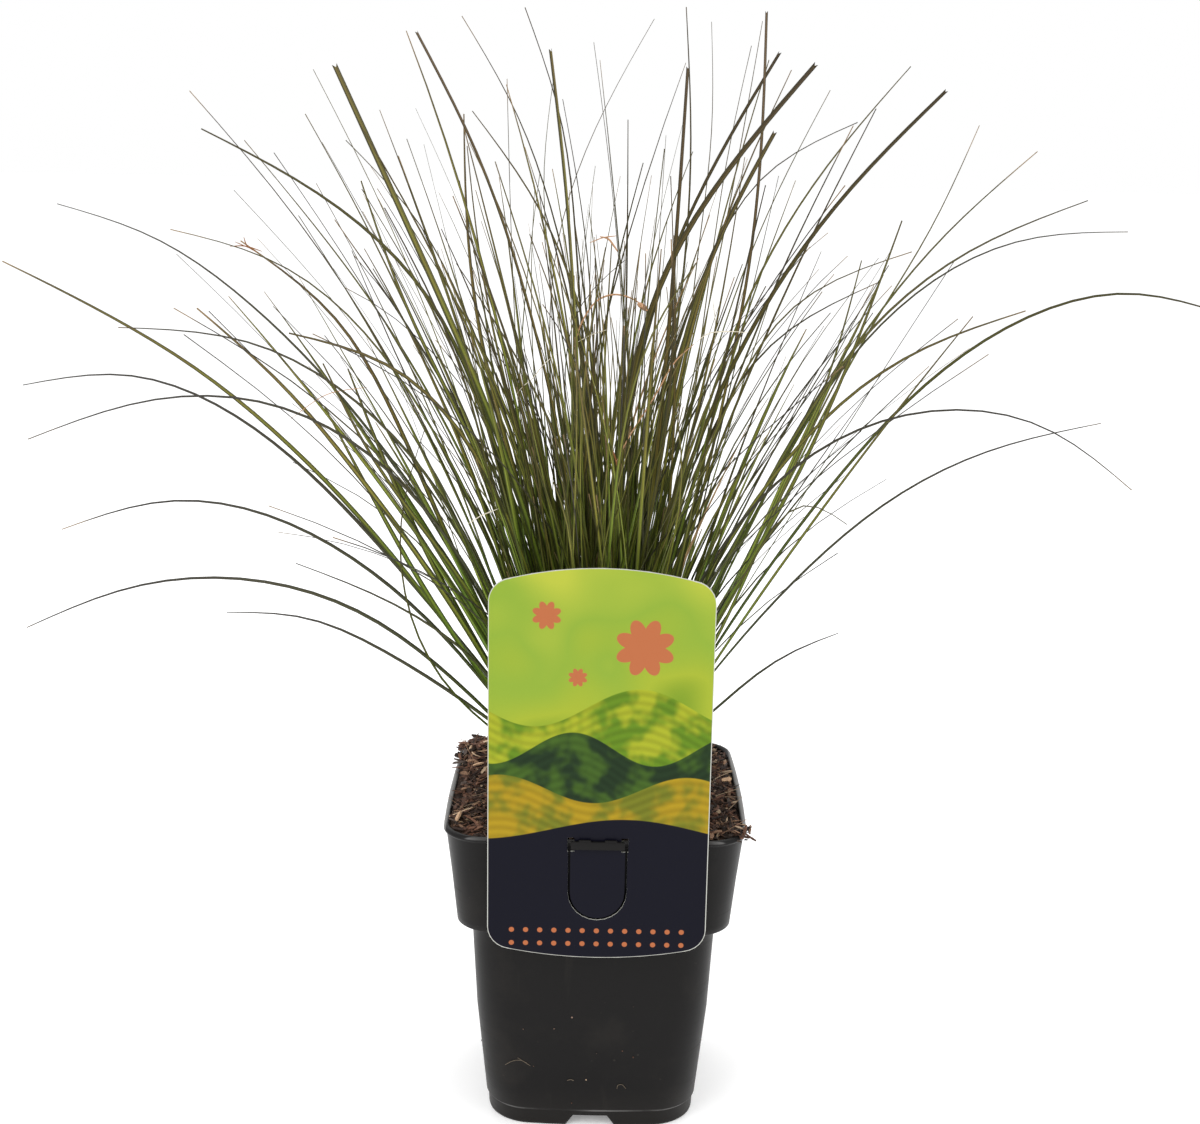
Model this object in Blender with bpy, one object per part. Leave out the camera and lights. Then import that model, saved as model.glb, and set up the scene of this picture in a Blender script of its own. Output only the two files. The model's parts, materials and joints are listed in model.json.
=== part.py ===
"""A sedge tuft in a square nursery pot, with the card clipped to the pot's rim.

The frame is in metres with +Z up. Its origin is the middle of the pot's foot, on the surface that the pot
stands on. The card faces -Y. The tuft is a crown of leafy shoots. Each shoot is one solid: a slim sheath,
which stands in a hole of its own in the soil, and the blades that grow out of it.
"""
import math
from dataclasses import dataclass

import bmesh
import bpy
import numpy as np
from mathutils import Vector, noise

MM = 0.001
GAP = 0.3 * MM
SEED = 1650

# The pot, a square one-litre nursery pot: half widths, heights and wall.
RIM_HALF = 55.0 * MM
POT_HEIGHT = 122.0 * MM
LIP_HEIGHT = 2.0 * MM
EDGE_ROUND = 0.6 * MM
COLLAR_TOP_HALF = 54.0 * MM
COLLAR_FOOT_HALF = 50.6 * MM
COLLAR_FOOT = 85.5 * MM
COLLAR_CORNER = 14.0 * MM
COLLAR_STEP = 2.3 * MM
BODY_TOP_HALF = 45.3 * MM
BODY_TOP_CORNER = 13.5 * MM
BODY_MIDDLE_HALF = 43.6 * MM
BODY_MIDDLE_CORNER = 15.0 * MM
BODY_MIDDLE = 46.0 * MM
BODY_FOOT_HALF = 40.2 * MM
BODY_FOOT_CORNER = 16.5 * MM
FOOT_RING_HALF = 39.3 * MM
FOOT_RING_CORNER = 17.0 * MM
FOOT_RING_HEIGHT = 6.4 * MM
FOOT_RING_WIDTH = 2.6 * MM
FLOOR_UNDERSIDE = 4.9 * MM
FLOOR_TOP = 6.4 * MM
WALL = 1.1 * MM
SIDE_BULGE = 0.9 * MM
CORNER_STEPS = 4
NOTCH_WIDTH = 17.7 * MM
NOTCH_HEIGHT = 4.4 * MM
DRAIN_RADIUS = 4.0 * MM
DRAIN_OFFSET = 21.0 * MM

# The strap at the front of the rim, which the card's tongue slips behind.
STRAP_HALF = 9.6 * MM
STRAP_LEG = 1.0 * MM
STRAP_BOTTOM = 119.9 * MM
STRAP_TOP = 122.9 * MM
STRAP_BAR = 1.3 * MM
STRAP_SINK = 0.05 * MM

# The card: it hangs just in front of the rim.
CARD_FRONT = -57.7 * MM
CARD_THICKNESS = 0.7 * MM
CARD_CENTRE_X = 1.1 * MM
CARD_HALF = 39.1 * MM
CARD_BOTTOM = 78.0 * MM
CARD_TOP = 222.0 * MM
CARD_CORNER = 8.5 * MM
CARD_TOP_BOW = 4.0 * MM
CARD_BOTTOM_BOW = 3.0 * MM
CARD_ARC_STEPS = 6
CARD_EDGE_TILT = 8.0
POCKET_BELOW = 1.2 * MM
POCKET_ABOVE = 1.0 * MM
TONGUE_RADIUS = 10.1 * MM
TONGUE_ARC_HEIGHT = 103.1 * MM
SLIT_WIDTH = 0.8 * MM

# The soil: a plug that fills the pot, with a lumpy top and a heap at the back left.
SOIL_EDGE = 119.6 * MM
SOIL_CROWN_RISE = 5.0 * MM
SOIL_CROWN_WIDTH = 24.0 * MM
SOIL_HEAP_RISE = 6.0 * MM
SOIL_HEAP_PLACE = (-33.0 * MM, 31.0 * MM)
SOIL_HEAP_WIDTH = 13.0 * MM
SOIL_LUMP = 1.1 * MM
SOIL_LUMP_SIZE = 9.0 * MM
SOIL_RINGS = 8
HOLE_REACH = 12.0 * MM

# The crown and its shoots.
SHOOTS = 34
CROWN_RADIUS = 18.5 * MM
GOLDEN_ANGLE = math.radians(137.5)
SHEATH_RADIUS = 1.55 * MM
SHEATH_TIP_RADIUS = 0.75 * MM
SHEATH_DEPTH = 10.0 * MM
SHEATH_RISE = (12.0 * MM, 22.0 * MM)
SHEATH_SIDES = 6
SHEATH_LEAN = math.radians(17.0)
BLADES_A_SHOOT = 7
LEADERS_A_SHOOT = 3
LEADER_FAN = 20.0
LEADER_SIDE = 17.0
LEADER_DEPTH_SHARE = 0.3
LEADER_DEPTH = 15.0
ROOT_SPAN = (0.12, 0.72)
FIRST_RING = 17.0 * MM
RING_SPACING = 40.0 * MM

# The filling blades, as (least, likeliest, most) or as (crown's middle, change to its edge).
FILLER_LENGTH = (105.0 * MM, 190.0 * MM, 295.0 * MM)
FILLER_WIDTH = (1.1 * MM, 1.5 * MM, 2.2 * MM)
FILLER_BLUNT = 0.12
FILLER_SWERVE = (1.45, -1.1)
FILLER_RISE = (87.0, -34.0)
FILLER_RISE_AT_CARD = (60.0, 20.0)
FILLER_LEAST_BEND = 2.0
FILLER_LIKELY_BEND = (5.0, 12.0)
FILLER_MOST_BEND = (22.0, 40.0)
FILLER_KNEE = 0.55

# The room that the tuft fills, and how its blades are kept apart.
SPREAD_X = 228.0 * MM
SPREAD_Y = 172.0 * MM
TUFT_TOP = 411.0 * MM
BLADE_GAP = 0.3 * MM
CLEAR_ROUNDS = 90
PAIRS_RENEWED = 10
PAIR_MARGIN = 4.0 * MM
PUSH_SHARE = 0.55
PUSH_EXTRA = 0.02 * MM
CROWN_EDGE = 24.0 * MM
RIM_CLEARANCE = 132.0 * MM
CARD_CLEARANCE = 8.0 * MM
NEAR_CARD = -38.0 * MM
BEHIND_CARD = -44.0 * MM
PAST_CARD = -73.0 * MM
BOX_MARGIN = 2.0 * MM

# A blade's section is a low triangle. It widens above the root and narrows to the tip.
THINNEST = 0.62 * MM
ROOT_SHARE = 0.6
TIP_SHARE = 0.36
BLUNT_SHARE = 0.8
THICKNESS_SHARE = 0.44

# The eye that the leading blades were drawn from: the picture plane is the plane y = 0, and the plant
# stands turned a little clockwise in the picture, about the height of the picture's middle.
EYE = np.array((0.0, -620.0 * MM, 356.0 * MM))
PICTURE_MIDDLE = 210.6 * MM
PICTURE_ROLL = math.radians(1.05)


@dataclass(frozen=True)
class Leader:
    """A blade laid out by eye: its route in the picture plane in millimetres, from low down to its tip."""

    route: tuple
    depth: float
    width: float
    blunt: bool = False
    turn: float = 70.0


# Route points (across, up), then how far the tip lies behind the middle, the width, and a cut-off tip.
LEADERS = (
    Leader(((-100, 241), (-136, 276), (-169, 299), (-227, 322)), 25, 1.6),
    Leader(((-80, 266), (-123, 296), (-175, 298)), -30, 1.3),
    Leader(((-60, 202), (-93, 249), (-119, 282), (-146, 305)), -10, 2.0),
    Leader(((-67, 198), (-100, 238), (-137, 270), (-180, 285), (-210, 277)), 45, 1.6),
    Leader(((-60, 226), (-99, 266), (-150, 277), (-211, 257)), -55, 1.2),
    Leader(((-73, 198), (-103, 221), (-154, 238), (-201, 223)), 10, 1.6),
    Leader(((-60, 170), (-94, 196), (-144, 207), (-188, 200), (-217, 185)), -25, 1.4),
    Leader(((-44, 151), (-76, 172), (-102, 189), (-141, 191)), 30, 1.5),
    Leader(((-45, 172), (-79, 196), (-114, 210)), -45, 1.2),
    Leader(((-60, 225), (-127, 308), (-161, 333), (-194, 342)), 60, 1.2),
    Leader(((-55, 250), (-97, 311), (-129, 331), (-154, 333)), -15, 1.1),
    Leader(((-35, 245), (-60, 311), (-96, 345), (-141, 368)), -22, 1.7),
    Leader(((-30, 240), (-57, 308), (-78, 356), (-93, 390)), -38, 2.3, True, 85),
    Leader(((-40, 240), (-72, 309), (-85, 338), (-104, 373)), 30, 1.2),
    Leader(((-30, 255), (-50, 309), (-74, 351), (-90, 364)), 55, 1.1),
    Leader(((-12, 245), (-26, 309), (-38, 350), (-64, 401)), -30, 1.7, True),
    Leader(((-25, 220), (-47, 309), (-48, 373)), 38, 1.7),
    Leader(((-25, 240), (-42, 309), (-47, 362)), -12, 1.5),
    Leader(((0, 275), (-12, 323), (-28, 354), (-45, 374)), 22, 1.5),
    Leader(((-5, 285), (-15, 334), (-27, 372), (-48, 409)), 50, 1.1),
    Leader(((-6, 230), (-9, 308), (-12, 354), (-17, 395)), -42, 2.3, True, 85),
    Leader(((-8, 320), (-18, 395), (-26, 410)), 8, 1.1),
    Leader(((-10, 280), (-22, 342), (-16, 387)), 45, 1.1),
    Leader(((-24, 200), (-45, 254), (-70, 285), (-104, 300), (-113, 296)), -50, 1.6),
    Leader(((-55, 215), (-74, 264), (-92, 302), (-129, 329)), 30, 1.7),
    Leader(((-50, 250), (-83, 309), (-126, 364)), 70, 1.2),
    Leader(((-35, 230), (-58, 280), (-78, 322), (-85, 350)), -5, 1.8),
    Leader(((-36, 240), (-39, 283), (-44, 322), (-50, 350)), 60, 1.6),
    Leader(((-18, 270), (-20, 313), (-10, 353), (19, 405)), 35, 1.1),
    Leader(((-2, 260), (-2, 313), (-13, 378)), -20, 1.4),
    Leader(((-12, 265), (-11, 314), (1, 330), (9, 322)), -48, 1.1),
    Leader(((20, 250), (33, 353), (30, 408)), 18, 1.7),
    Leader(((20, 240), (28, 338), (31, 389)), -30, 2.0, True),
    Leader(((28, 255), (35, 326), (41, 374), (39, 408)), 55, 1.3),
    Leader(((40, 250), (55, 326), (58, 377), (58, 408)), 5, 1.8, True),
    Leader(((8, 255), (24, 323), (41, 358), (63, 394)), 30, 1.8, True),
    Leader(((5, 245), (24, 323), (43, 352), (76, 390)), -42, 2.3, True, 85),
    Leader(((22, 245), (38, 323), (56, 359), (62, 367)), -25, 2.1, True),
    Leader(((35, 275), (47, 371), (53, 396)), 45, 1.1),
    Leader(((35, 265), (57, 334), (81, 381)), 65, 1.2),
    Leader(((8, 250), (10, 322), (10, 371)), -10, 1.4),
    Leader(((32, 247), (54, 298), (78, 336), (122, 381)), -25, 2.1, True, 85),
    Leader(((60, 205), (96, 254), (125, 285), (190, 314), (228, 303)), 12, 1.7),
    Leader(((46, 218), (95, 279), (126, 298), (154, 304)), -20, 1.7),
    Leader(((50, 225), (95, 266), (130, 271), (174, 262), (197, 238)), -45, 1.1),
    Leader(((60, 190), (97, 228), (128, 249), (184, 263)), 35, 1.3),
    Leader(((60, 235), (94, 296), (129, 326), (174, 343)), -10, 1.6),
    Leader(((62, 240), (97, 296), (143, 330), (189, 332)), 45, 1.2),
    Leader(((58, 230), (95, 296), (137, 346), (155, 360)), 25, 1.5),
    Leader(((62, 225), (93, 290), (125, 344), (134, 369)), 70, 1.5),
    Leader(((50, 200), (72, 240), (97, 302), (108, 336)), -35, 1.7),
    Leader(((62, 220), (96, 262), (120, 284)), 60, 1.3),
    Leader(((30, 300), (64, 362), (91, 370)), 25, 1.1),
    Leader(((42, 260), (72, 315), (103, 326), (112, 325)), -50, 1.1),
    Leader(((34, 240), (51, 285), (76, 306), (100, 314)), 5, 1.4),
    Leader(((48, 180), (69, 211), (86, 238), (117, 278), (135, 302)), -15, 2.0),
    Leader(((42, 151), (68, 174), (90, 183)), 20, 1.4),
    Leader(((45, 190), (68, 240), (87, 285), (102, 317)), 20, 2.1),
    Leader(((35, 255), (54, 313), (74, 348), (109, 389)), 15, 1.5),
    Leader(((52, 200), (80, 244), (92, 225)), -40, 1.1),
)


def material(name: str, colour: tuple, roughness: float) -> bpy.types.Material:
    """Make a plain Principled material."""
    made = bpy.data.materials.new(name)
    made.use_nodes = True
    shader = made.node_tree.nodes["Principled BSDF"]
    shader.inputs["Base Color"].default_value = (*colour, 1.0)
    shader.inputs["Roughness"].default_value = roughness
    shader.inputs["Metallic"].default_value = 0.0
    made.diffuse_color = (*colour, 1.0)
    return made


def pot_material() -> bpy.types.Material:
    """Satin black moulded plastic."""
    return material("pot_plastic", (0.022, 0.022, 0.022), 0.42)


def card_material() -> bpy.types.Material:
    """Printed plastic card."""
    return material("card_print", (0.10, 0.13, 0.06), 0.35)


def soil_material() -> bpy.types.Material:
    """Dark, fibrous potting soil."""
    return material("soil", (0.045, 0.028, 0.018), 0.95)


def blade_material(name: str, dryness: float) -> bpy.types.Material:
    """Sedge leaf, from olive green at dryness 0 to bronze at dryness 1."""
    green = np.array((0.060, 0.085, 0.018))
    bronze = np.array((0.150, 0.085, 0.030))
    return material(name, tuple(green + (bronze - green) * dryness), 0.5)


def clear_scene() -> None:
    """Remove whatever the file holds."""
    for item in list(bpy.data.objects):
        bpy.data.objects.remove(item, do_unlink=True)


def new_collection(name: str) -> bpy.types.Collection:
    """Make a collection in the scene."""
    made = bpy.data.collections.new(name)
    bpy.context.scene.collection.children.link(made)
    return made


def mesh_object(name: str, shape: bmesh.types.BMesh, collection: bpy.types.Collection) -> bpy.types.Object:
    """Turn a bmesh into a named object."""
    bmesh.ops.recalc_face_normals(shape, faces=shape.faces)
    mesh = bpy.data.meshes.new(name)
    shape.to_mesh(mesh)
    shape.free()
    made = bpy.data.objects.new(name, mesh)
    collection.objects.link(made)
    return made


def loft(rings: list, point: np.ndarray | None = None) -> bmesh.types.BMesh:
    """Join rings of points into a closed skin. The far end closes in a point, or in a flat face."""
    shape = bmesh.new()
    loops = [[shape.verts.new(tuple(place)) for place in ring] for ring in rings]
    count = len(loops[0])
    for low, high in zip(loops, loops[1:]):
        for here in range(count):
            there = (here + 1) % count
            shape.faces.new((low[here], low[there], high[there], high[here]))
    shape.faces.new(loops[0])
    if point is None:
        shape.faces.new(loops[-1])
        return shape
    apex = shape.verts.new(tuple(point))
    for here in range(count):
        shape.faces.new((loops[-1][here], loops[-1][(here + 1) % count], apex))
    return shape


def applied(item: bpy.types.Object) -> None:
    """Swap an object's mesh for its evaluated one, and drop its modifiers."""
    view = bpy.context.evaluated_depsgraph_get()
    mesh = bpy.data.meshes.new_from_object(item.evaluated_get(view))
    item.modifiers.clear()
    item.data = mesh


def mesh_from_curve(item: bpy.types.Object, collection: bpy.types.Collection) -> bpy.types.Object:
    """Replace a curve object with a mesh object, with its caps welded."""
    bpy.context.view_layer.update()
    view = bpy.context.evaluated_depsgraph_get()
    mesh = bpy.data.meshes.new_from_object(item.evaluated_get(view))
    shape = bmesh.new()
    shape.from_mesh(mesh)
    bmesh.ops.remove_doubles(shape, verts=shape.verts, dist=0.001 * MM)
    name = item.name
    place = item.matrix_world.copy()
    bpy.data.objects.remove(item, do_unlink=True)
    made = mesh_object(name, shape, collection)
    made.matrix_world = place
    return made


def cut_with(item: bpy.types.Object, cutters: bpy.types.Collection) -> None:
    """Cut every object of a collection out of an item."""
    cut = item.modifiers.new("cuts", "BOOLEAN")
    cut.operation = "DIFFERENCE"
    cut.operand_type = "COLLECTION"
    cut.collection = cutters


def hidden(item: bpy.types.Object) -> bpy.types.Object:
    """Mark an object as a cutter."""
    item.hide_render = True
    item.display_type = "WIRE"
    return item


def box(name: str, low: tuple, high: tuple, collection: bpy.types.Collection) -> bpy.types.Object:
    """Make a box between two corners."""
    shape = bmesh.new()
    bmesh.ops.create_cube(shape, size=1.0)
    middle = (Vector(low) + Vector(high)) / 2
    size = Vector(high) - Vector(low)
    for vertex in shape.verts:
        vertex.co = Vector(axis * length for axis, length in zip(vertex.co, size)) + middle
    return mesh_object(name, shape, collection)


def rod(name: str, start: Vector, end: Vector, radii: tuple, sides: int,
        collection: bpy.types.Collection) -> bpy.types.Object:
    """Make a straight round rod or cone between two points."""
    shape = bmesh.new()
    run = end - start
    bmesh.ops.create_cone(shape, cap_ends=True, segments=sides, radius1=radii[0], radius2=radii[1],
                          depth=run.length)
    turn = Vector((0.0, 0.0, 1.0)).rotation_difference(run).to_matrix().to_4x4()
    turn.translation = (start + end) / 2
    bmesh.ops.transform(shape, matrix=turn, verts=shape.verts)
    return mesh_object(name, shape, collection)


def rounded_square(half: float, corner: float, height: float) -> np.ndarray:
    """A level ring with rounded corners, whose sides swell a little in their middles."""
    bend = np.linspace(0.0, math.pi / 2, CORNER_STEPS + 1)
    arc = np.column_stack((np.cos(bend), np.sin(bend))) * corner + (half - corner)
    side = np.vstack((((half + SIDE_BULGE, 0.0),), arc))
    quarters = [side @ np.array(((math.cos(a), math.sin(a)), (-math.sin(a), math.cos(a))))
                for a in np.arange(4) * math.pi / 2]
    flat = np.vstack(quarters)
    return np.column_stack((flat, np.full(len(flat), height)))


def pot_sections() -> list:
    """The pot's outline as (half width, corner radius, height), from under the floor, outside and back in."""
    step = COLLAR_FOOT - COLLAR_STEP
    inner_foot = FOOT_RING_HALF - FOOT_RING_WIDTH
    return [
        (inner_foot, FOOT_RING_CORNER - 2 * MM, FLOOR_UNDERSIDE),
        (inner_foot, FOOT_RING_CORNER - 2 * MM, 0.0),
        (FOOT_RING_HALF - EDGE_ROUND, FOOT_RING_CORNER, 0.0),
        (FOOT_RING_HALF, FOOT_RING_CORNER, 2 * EDGE_ROUND),
        (FOOT_RING_HALF + EDGE_ROUND / 3, FOOT_RING_CORNER, FOOT_RING_HEIGHT),
        (BODY_FOOT_HALF, BODY_FOOT_CORNER, FOOT_RING_HEIGHT + 2 * EDGE_ROUND),
        (BODY_MIDDLE_HALF, BODY_MIDDLE_CORNER, BODY_MIDDLE),
        (BODY_TOP_HALF, BODY_TOP_CORNER, step),
        (COLLAR_FOOT_HALF - 2 * EDGE_ROUND, COLLAR_CORNER, step),
        (COLLAR_FOOT_HALF - EDGE_ROUND / 3, COLLAR_CORNER, step + EDGE_ROUND),
        (COLLAR_FOOT_HALF, COLLAR_CORNER, COLLAR_FOOT + EDGE_ROUND),
        (COLLAR_TOP_HALF, COLLAR_CORNER, POT_HEIGHT - LIP_HEIGHT - EDGE_ROUND),
        (RIM_HALF - EDGE_ROUND / 3, COLLAR_CORNER, POT_HEIGHT - LIP_HEIGHT),
        (RIM_HALF, COLLAR_CORNER, POT_HEIGHT - EDGE_ROUND),
        (RIM_HALF - EDGE_ROUND, COLLAR_CORNER, POT_HEIGHT),
        (COLLAR_TOP_HALF - WALL + EDGE_ROUND, COLLAR_CORNER - EDGE_ROUND, POT_HEIGHT),
        (COLLAR_TOP_HALF - WALL, COLLAR_CORNER - WALL, POT_HEIGHT - 2 * EDGE_ROUND),
        (COLLAR_FOOT_HALF - WALL, COLLAR_CORNER - WALL, COLLAR_FOOT + WALL),
        (BODY_TOP_HALF - WALL, BODY_TOP_CORNER - WALL, COLLAR_FOOT - WALL),
        (BODY_MIDDLE_HALF - WALL, BODY_MIDDLE_CORNER - WALL, BODY_MIDDLE),
        (BODY_FOOT_HALF - WALL, BODY_FOOT_CORNER - WALL, FLOOR_TOP + WALL),
        (BODY_FOOT_HALF - 2 * WALL, BODY_FOOT_CORNER - WALL, FLOOR_TOP),
    ]


def pot_cutters() -> bpy.types.Collection:
    """The drainage notches through the foot ring and the drain holes in the floor."""
    cutters = new_collection("pot_cutters")
    half = NOTCH_WIDTH / 2
    reach = RIM_HALF
    hidden(box("notch_across", (-reach, -half, -MM), (reach, half, NOTCH_HEIGHT), cutters))
    hidden(box("notch_along", (-half, -reach, -MM), (half, reach, NOTCH_HEIGHT), cutters))
    for count, (side_x, side_y) in enumerate(((1, 1), (-1, 1), (-1, -1), (1, -1), (0, 0))):
        low = Vector((side_x * DRAIN_OFFSET, side_y * DRAIN_OFFSET, FLOOR_UNDERSIDE - MM))
        high = low + Vector((0.0, 0.0, FLOOR_TOP - FLOOR_UNDERSIDE + 2 * MM))
        hidden(rod(f"drain_{count}", low, high, (DRAIN_RADIUS, DRAIN_RADIUS), 10, cutters))
    return cutters


def strap_boxes() -> bpy.types.Collection:
    """The strap: a bar in front of the card's tongue, on two legs that spring from the rim."""
    pieces = new_collection("strap_pieces")
    wall = -(COLLAR_TOP_HALF - WALL / 2)
    back = CARD_FRONT - GAP
    front = back - STRAP_BAR
    left, right = CARD_CENTRE_X - STRAP_HALF, CARD_CENTRE_X + STRAP_HALF
    box("strap_bar", (left, front, STRAP_BOTTOM), (right, back, STRAP_TOP), pieces)
    left += STRAP_SINK
    right -= STRAP_SINK + STRAP_LEG
    for name, start in (("strap_leg_left", left), ("strap_leg_right", right)):
        low = (start, back - STRAP_BAR / 2, STRAP_BOTTOM + STRAP_SINK)
        high = (start + STRAP_LEG, wall, POT_HEIGHT - EDGE_ROUND)
        box(name, low, high, pieces)
    return pieces


def union_into(item: bpy.types.Object, pieces: bpy.types.Collection) -> None:
    """Fuse a collection's objects into an item, then remove the collection."""
    joined = item.modifiers.new("fuse", "BOOLEAN")
    joined.operation = "UNION"
    joined.operand_type = "COLLECTION"
    joined.collection = pieces
    joined.solver = "MANIFOLD"
    applied(item)
    for piece in list(pieces.objects):
        bpy.data.objects.remove(piece, do_unlink=True)
    bpy.data.collections.remove(pieces)
    keep_main_body(item)


def keep_main_body(item: bpy.types.Object) -> None:
    """Keep the largest closed skin: this fills sealed hollows and drops loose scraps."""
    shape = bmesh.new()
    shape.from_mesh(item.data)
    unseen = set(shape.verts)
    skins = []
    while unseen:
        skin = set()
        edge = [unseen.pop()]
        while edge:
            vertex = edge.pop()
            skin.add(vertex)
            linked = {link.other_vert(vertex) for link in vertex.link_edges} & unseen
            unseen -= linked
            edge.extend(linked)
        skins.append(skin)
    skins.sort(key=len)
    for skin in skins[:-1]:
        bmesh.ops.delete(shape, geom=list(skin), context="VERTS")
    shape.to_mesh(item.data)
    shape.free()


def make_pot(collection: bpy.types.Collection) -> bpy.types.Object:
    """The pot: a tapering body, a wider collar with a rolled lip, a notched foot ring and the strap."""
    rings = [rounded_square(*section) for section in pot_sections()]
    pot = mesh_object("pot", loft(rings), collection)
    union_into(pot, strap_boxes())
    cut_with(pot, pot_cutters())
    pot.data.materials.clear()
    pot.data.materials.append(pot_material())
    return pot


def arc_points(centre: tuple, radius: float, start: float, end: float, steps: int) -> list:
    """Points along an arc, its angles in degrees."""
    angles = np.radians(np.linspace(start, end, steps + 1))
    return [(centre[0] + radius * math.cos(a), centre[1] + radius * math.sin(a)) for a in angles]


def bowed_edge(start: tuple, end: tuple, bow: float, steps: int) -> list:
    """Inner points of an edge that bows by a given height in its middle."""
    shares = np.linspace(0.0, 1.0, steps + 1)[1:-1]
    return [(start[0] + (end[0] - start[0]) * share,
             start[1] + (end[1] - start[1]) * share + bow * 4 * share * (1 - share)) for share in shares]


def card_outline() -> list:
    """The card's outline: round corners, and long edges that bow outwards at the top and the bottom."""
    left = CARD_CENTRE_X - CARD_HALF + CARD_CORNER
    right = CARD_CENTRE_X + CARD_HALF - CARD_CORNER
    low = CARD_BOTTOM + CARD_BOTTOM_BOW + CARD_CORNER
    high = CARD_TOP - CARD_TOP_BOW - CARD_CORNER
    tilt = CARD_EDGE_TILT
    lower_left = arc_points((left, low), CARD_CORNER, 180, 270 - tilt, CARD_ARC_STEPS)
    lower_right = arc_points((right, low), CARD_CORNER, 270 + tilt, 360, CARD_ARC_STEPS)
    upper_right = arc_points((right, high), CARD_CORNER, 0, 90 - tilt, CARD_ARC_STEPS)
    upper_left = arc_points((left, high), CARD_CORNER, 90 + tilt, 180, CARD_ARC_STEPS)
    bottom = bowed_edge(lower_left[-1], lower_right[0], -CARD_BOTTOM_BOW, 8)
    top = bowed_edge(upper_right[-1], upper_left[0], CARD_TOP_BOW, 8)
    return lower_left + bottom + lower_right + upper_right + top + upper_left


def slit_outline() -> list:
    """The U-shaped slit that frees the card's tongue."""
    outer = TONGUE_RADIUS + SLIT_WIDTH / 2
    inner = TONGUE_RADIUS - SLIT_WIDTH / 2
    middle = CARD_CENTRE_X
    centre = (middle, TONGUE_ARC_HEIGHT)
    top = STRAP_TOP + GAP
    down = arc_points(centre, outer, 180, 360, 12)
    back = arc_points(centre, inner, 360, 180, 12)
    return ([(middle - outer, top)] + down + [(middle + outer, top), (middle + inner, top)] + back
            + [(middle - inner, top)])


def upright_plate(name: str, outline: list, front: float, thickness: float,
                  collection: bpy.types.Collection) -> bpy.types.Object:
    """A flat plate that faces -Y, from an outline in (x, z)."""
    curve = bpy.data.curves.new(name, "CURVE")
    curve.dimensions = "2D"
    curve.fill_mode = "BOTH"
    curve.extrude = thickness / 2
    spline = curve.splines.new("POLY")
    spline.points.add(len(outline) - 1)
    for point, (across, up) in zip(spline.points, outline):
        point.co = (across, up, 0.0, 1.0)
    spline.use_cyclic_u = True
    plate = bpy.data.objects.new(name, curve)
    collection.objects.link(plate)
    plate.rotation_euler = (math.pi / 2, 0.0, 0.0)
    plate.location = (0.0, front + thickness / 2, 0.0)
    return mesh_from_curve(plate, collection)


def make_card(collection: bpy.types.Collection) -> bpy.types.Object:
    """The card, with its tongue cut free and two pockets for the strap's legs."""
    card = upright_plate("label", card_outline(), CARD_FRONT, CARD_THICKNESS, collection)
    cutters = new_collection("card_cutters")
    front = CARD_FRONT - MM
    hidden(upright_plate("slit", slit_outline(), front, CARD_THICKNESS + 2 * MM, cutters))
    inner, outer = STRAP_HALF - STRAP_LEG - GAP, TONGUE_RADIUS + SLIT_WIDTH / 2 + GAP
    for name, edges in (("pocket_left", (-outer, -inner)), ("pocket_right", (inner, outer))):
        low = (CARD_CENTRE_X + edges[0], front - MM, STRAP_BOTTOM - POCKET_BELOW)
        high = (CARD_CENTRE_X + edges[1], front + CARD_THICKNESS + 3 * MM, STRAP_TOP + POCKET_ABOVE)
        hidden(box(name, low, high, cutters))
    cut_with(card, cutters)
    card.data.materials.append(card_material())
    return card


def soil_height(across: np.ndarray, along: np.ndarray) -> np.ndarray:
    """Height of the soil's top: a rise at the crown, a heap at the back left, and lumps."""
    crown = np.exp(-(across ** 2 + along ** 2) / (2 * SOIL_CROWN_WIDTH ** 2))
    off_heap = (across - SOIL_HEAP_PLACE[0]) ** 2 + (along - SOIL_HEAP_PLACE[1]) ** 2
    heap = np.exp(-off_heap / (2 * SOIL_HEAP_WIDTH ** 2))
    lumps = [noise.noise(Vector((x, y, 0.0)) / SOIL_LUMP_SIZE) for x, y in zip(across, along)]
    return SOIL_EDGE + SOIL_CROWN_RISE * crown + SOIL_HEAP_RISE * heap + SOIL_LUMP * np.array(lumps)


def make_soil(collection: bpy.types.Collection, crown: list) -> bpy.types.Object:
    """The soil plug: it follows the pot's inside, and has a plain hole for each shoot."""
    inset = WALL + 2 * GAP
    corner = COLLAR_CORNER - WALL
    rings = [
        rounded_square(BODY_FOOT_HALF - WALL - inset, BODY_FOOT_CORNER - WALL, FLOOR_TOP + GAP),
        rounded_square(BODY_TOP_HALF - inset, BODY_TOP_CORNER - WALL, COLLAR_FOOT - WALL),
        rounded_square(COLLAR_FOOT_HALF - inset, corner, COLLAR_FOOT + WALL + 2 * GAP),
    ]
    edge = rounded_square(COLLAR_TOP_HALF - inset, corner, SOIL_EDGE)
    for share in np.linspace(1.0, 0.0, SOIL_RINGS, endpoint=False):
        ring = edge * (share, share, 1.0)
        ring[:, 2] = soil_height(ring[:, 0], ring[:, 1])
        rings.append(ring)
    middle = np.array((0.0, 0.0, soil_height(np.zeros(1), np.zeros(1))[0]))
    soil = mesh_object("soil", loft(rings, middle), collection)
    cutters = new_collection("soil_cutters")
    for shoot in crown:
        start = Vector(shoot.base - shoot.axis * GAP)
        end = Vector(shoot.base + shoot.axis * (SHEATH_DEPTH + HOLE_REACH))
        radius = SHEATH_RADIUS + GAP
        hidden(rod(f"hole_{shoot.name}", start, end, (radius, radius), 8, cutters))
    cut_with(soil, cutters)
    soil.data.materials.append(soil_material())
    return soil


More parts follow.
